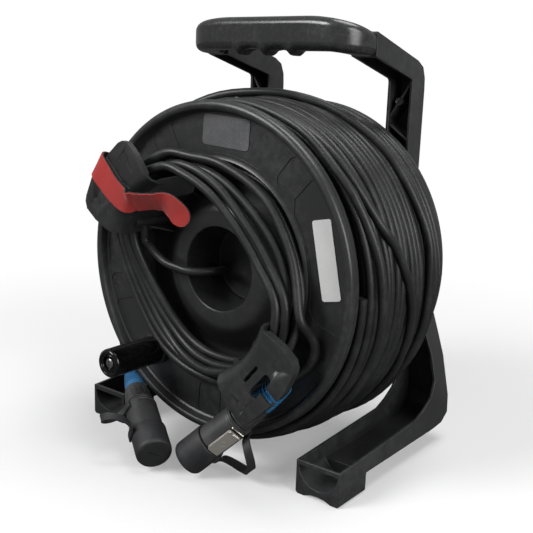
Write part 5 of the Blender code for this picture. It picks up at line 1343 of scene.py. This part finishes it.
half_grip = [soft_section(row) for row in grip_rows()]
mirrored = [[Vector((-spot.x, spot.y, spot.z)) for spot in ring] for ring in reversed(half_grip[:-1])]
rings = half_grip + mirrored
around = len(rings[0])
begin()
bpy.ops.mesh.primitive_grid_add(x_subdivisions=around, y_subdivisions=len(rings) - 1, size=2.0)
grip = bpy.context.object
for vertex in grip.data.vertices:
    column = round((vertex.co.x + 1) / 2 * around)
    row = round((vertex.co.y + 1) / 2 * (len(rings) - 1))
    vertex.co = rings[row][column % around]
bpy.ops.object.mode_set(mode="EDIT")
bpy.ops.mesh.select_all(action="SELECT")
bpy.ops.mesh.remove_doubles(threshold=POINT)
bpy.ops.mesh.select_all(action="DESELECT")
bpy.ops.mesh.select_non_manifold()
bpy.ops.mesh.edge_face_add()
closed_up()
edged(grip, 0.0010, 3, 60.0)
finished(grip, "carrying_grip", "frame", "gloss_plastic", grip_finish, "handle_grip")

# The winding knob: a spindle with a collar on the flange, a glossy sleeve that turns on
# it, and a pan-head screw with a cross recess, sunk in the sleeve's end.
KNOB_PLACE = DRUM_PLACE @ Matrix.Translation((-0.0735, 0.0925, 0.0))
KNOB_BACK = -0.0792
KNOB_FRONT = -0.1392
KNOB_RADIUS = 0.0140
spindle = edged(copied("knob_spindle", "spindle"), 0.0007, 3, 40.0)
finished(spindle, "knob_collar_and_spindle", "drum", "drum_plastic", drum_finish, "knob_spindle")
sleeve = turned("sleeve", (
    (0.0054, KNOB_BACK), (KNOB_RADIUS - 0.0010, KNOB_BACK), (KNOB_RADIUS - 0.0003, KNOB_BACK - 0.0004),
    (KNOB_RADIUS, KNOB_BACK - 0.0012), (KNOB_RADIUS, -0.1250), (KNOB_RADIUS, -0.1362),
    (KNOB_RADIUS - 0.0004, -0.1376), (KNOB_RADIUS - 0.0013, -0.1387), (KNOB_RADIUS - 0.0026, KNOB_FRONT),
    (0.0104, KNOB_FRONT), (0.0100, -0.1389), (0.0098, -0.1382), (0.0092, -0.1379), (0.0087, -0.1384),
    (0.0080, -0.1384), (0.0077, -0.1380), (0.0075, -0.1352), (0.0054, -0.1352), (0.0054, KNOB_BACK)), 96)
laid(sleeve, KNOB_PLACE)
finished(smooth(sleeve, 38.0), "knob_turning_sleeve", "knob", "gloss_plastic", gloss_finish, "knob_sleeve")


def pan_head(radius, height, shank, length, arms=True):
    """A screw with a domed head and a cross recess, or a hexagon one, its shank along -Z."""
    thing = turned("screw", (
        (0.0, -length), (shank - 0.0004, -length), (shank, -length + 0.0005), (shank, 0.0), (radius, 0.0),
        (radius, height * 0.35), (radius * 0.93, height * 0.68), (radius * 0.74, height * 0.90),
        (radius * 0.45, height), (0.0, height)), 48)
    deep = height * 0.45
    if arms:
        for low, high in (((-radius * 0.55, -radius * 0.11), (radius * 0.55, radius * 0.11)),
                          ((-radius * 0.11, -radius * 0.55), (radius * 0.11, radius * 0.55))):
            cut(thing, block((*low, height - deep), (*high, height + 0.001)))
    else:
        hexagon = [on_arc(radius * 0.52, 60.0 * corner) for corner in range(6)]
        cut(thing, flat_piece("recess", hexagon, height - deep * 1.2, height + 0.001))
    return edged(thing, radius * 0.025, 2, 42.0)


screw = pan_head(0.0050, 0.0022, 0.0018, 0.0110)
laid(screw, DRUM_PLACE @ Matrix.Translation((-0.0735, 0.0925, -0.1356)) @ Matrix.Rotation(math.pi, 4, "X"))
finished(screw, "knob_end_screw", "drum", "zinc_steel", steel_finish, "knob_screw")

# The fasteners of the frame: two pan-head screws in the grip's seams, from behind the
# arms' end walls, and four hexagon-socket bolts through the uprights.
for side, word in ((-1, "left"), (1, "right")):
    screw = pan_head(0.0040, 0.0024, 0.0019, 0.0118)
    screw_place = Matrix.Translation((side * GRIP_ARM, 0.0279, AXIS_HEIGHT + 0.2078))
    laid(screw, screw_place @ Matrix.Rotation(-math.pi / 2, 4, "X"))
    finished(screw, "grip_seam_screw_" + word, "frame", "zinc_steel", steel_finish, "grip_screw_" + word)
    for number, height in ((1, 0.042), (2, 0.064)):
        bolt = pan_head(0.0055, 0.0030, 0.0028, 0.0150, False)
        bolt_place = Matrix.Translation((side * 0.0766, 0.10775, AXIS_HEIGHT + height))
        laid(bolt, bolt_place @ Matrix.Rotation(side * math.pi / 2, 4, "Y"))
        finished(bolt, f"frame_bolt_{word}_{number}_socket", "frame", "zinc_steel", steel_finish,
                 f"frame_bolt_{word}_{number}")

# The axle with its nut, washer and spacer, the two bushes and the brackets' screws. They
# sit inside the drum or behind it: the solids' shapes, with their edges broken.
for node, name, width in (("axle", "axle_with_head", 0.0008),
                          ("axle_nut", "axle_hexagon_nut", 0.0007),
                          ("axle_washer", "axle_plain_washer", 0.0003),
                          ("axle_spacer", "axle_spacer_tube", 0.0003)):
    finished(edged(copied(node, node), width, 2, 35.0), name, "frame", "zinc_steel", steel_finish, node)
for node in ("front_bush", "rear_bush"):
    bush = edged(copied(node, node), 0.0003, 2, 35.0)
    finished(bush, node + "_flanged", "drum", "bush_bronze", bronze_finish, node)
for letter in "ab":
    for number in (1, 2):
        node = f"bracket_{letter}_screw_{number}"
        screw = edged(copied(node, node), 0.0003, 2, 35.0)
        finished(screw, node + "_steel", "drum", "zinc_steel", steel_finish, node)

# The brake behind the drum: a star knob on a spindle that presses a rubber pad on it.
knob = edged(copied("brake_knob", "brake_star"), 0.0012, 3, 30.0)
finished(knob, "brake_star_knob", "brake", "gloss_plastic", gloss_finish, "brake_knob")
pad = edged(copied("brake_pad", "brake_disc"), 0.0008, 2, 35.0)
finished(pad, "brake_rubber_pad", "frame", "soft_rubber", rubber_finish, "brake_pad")
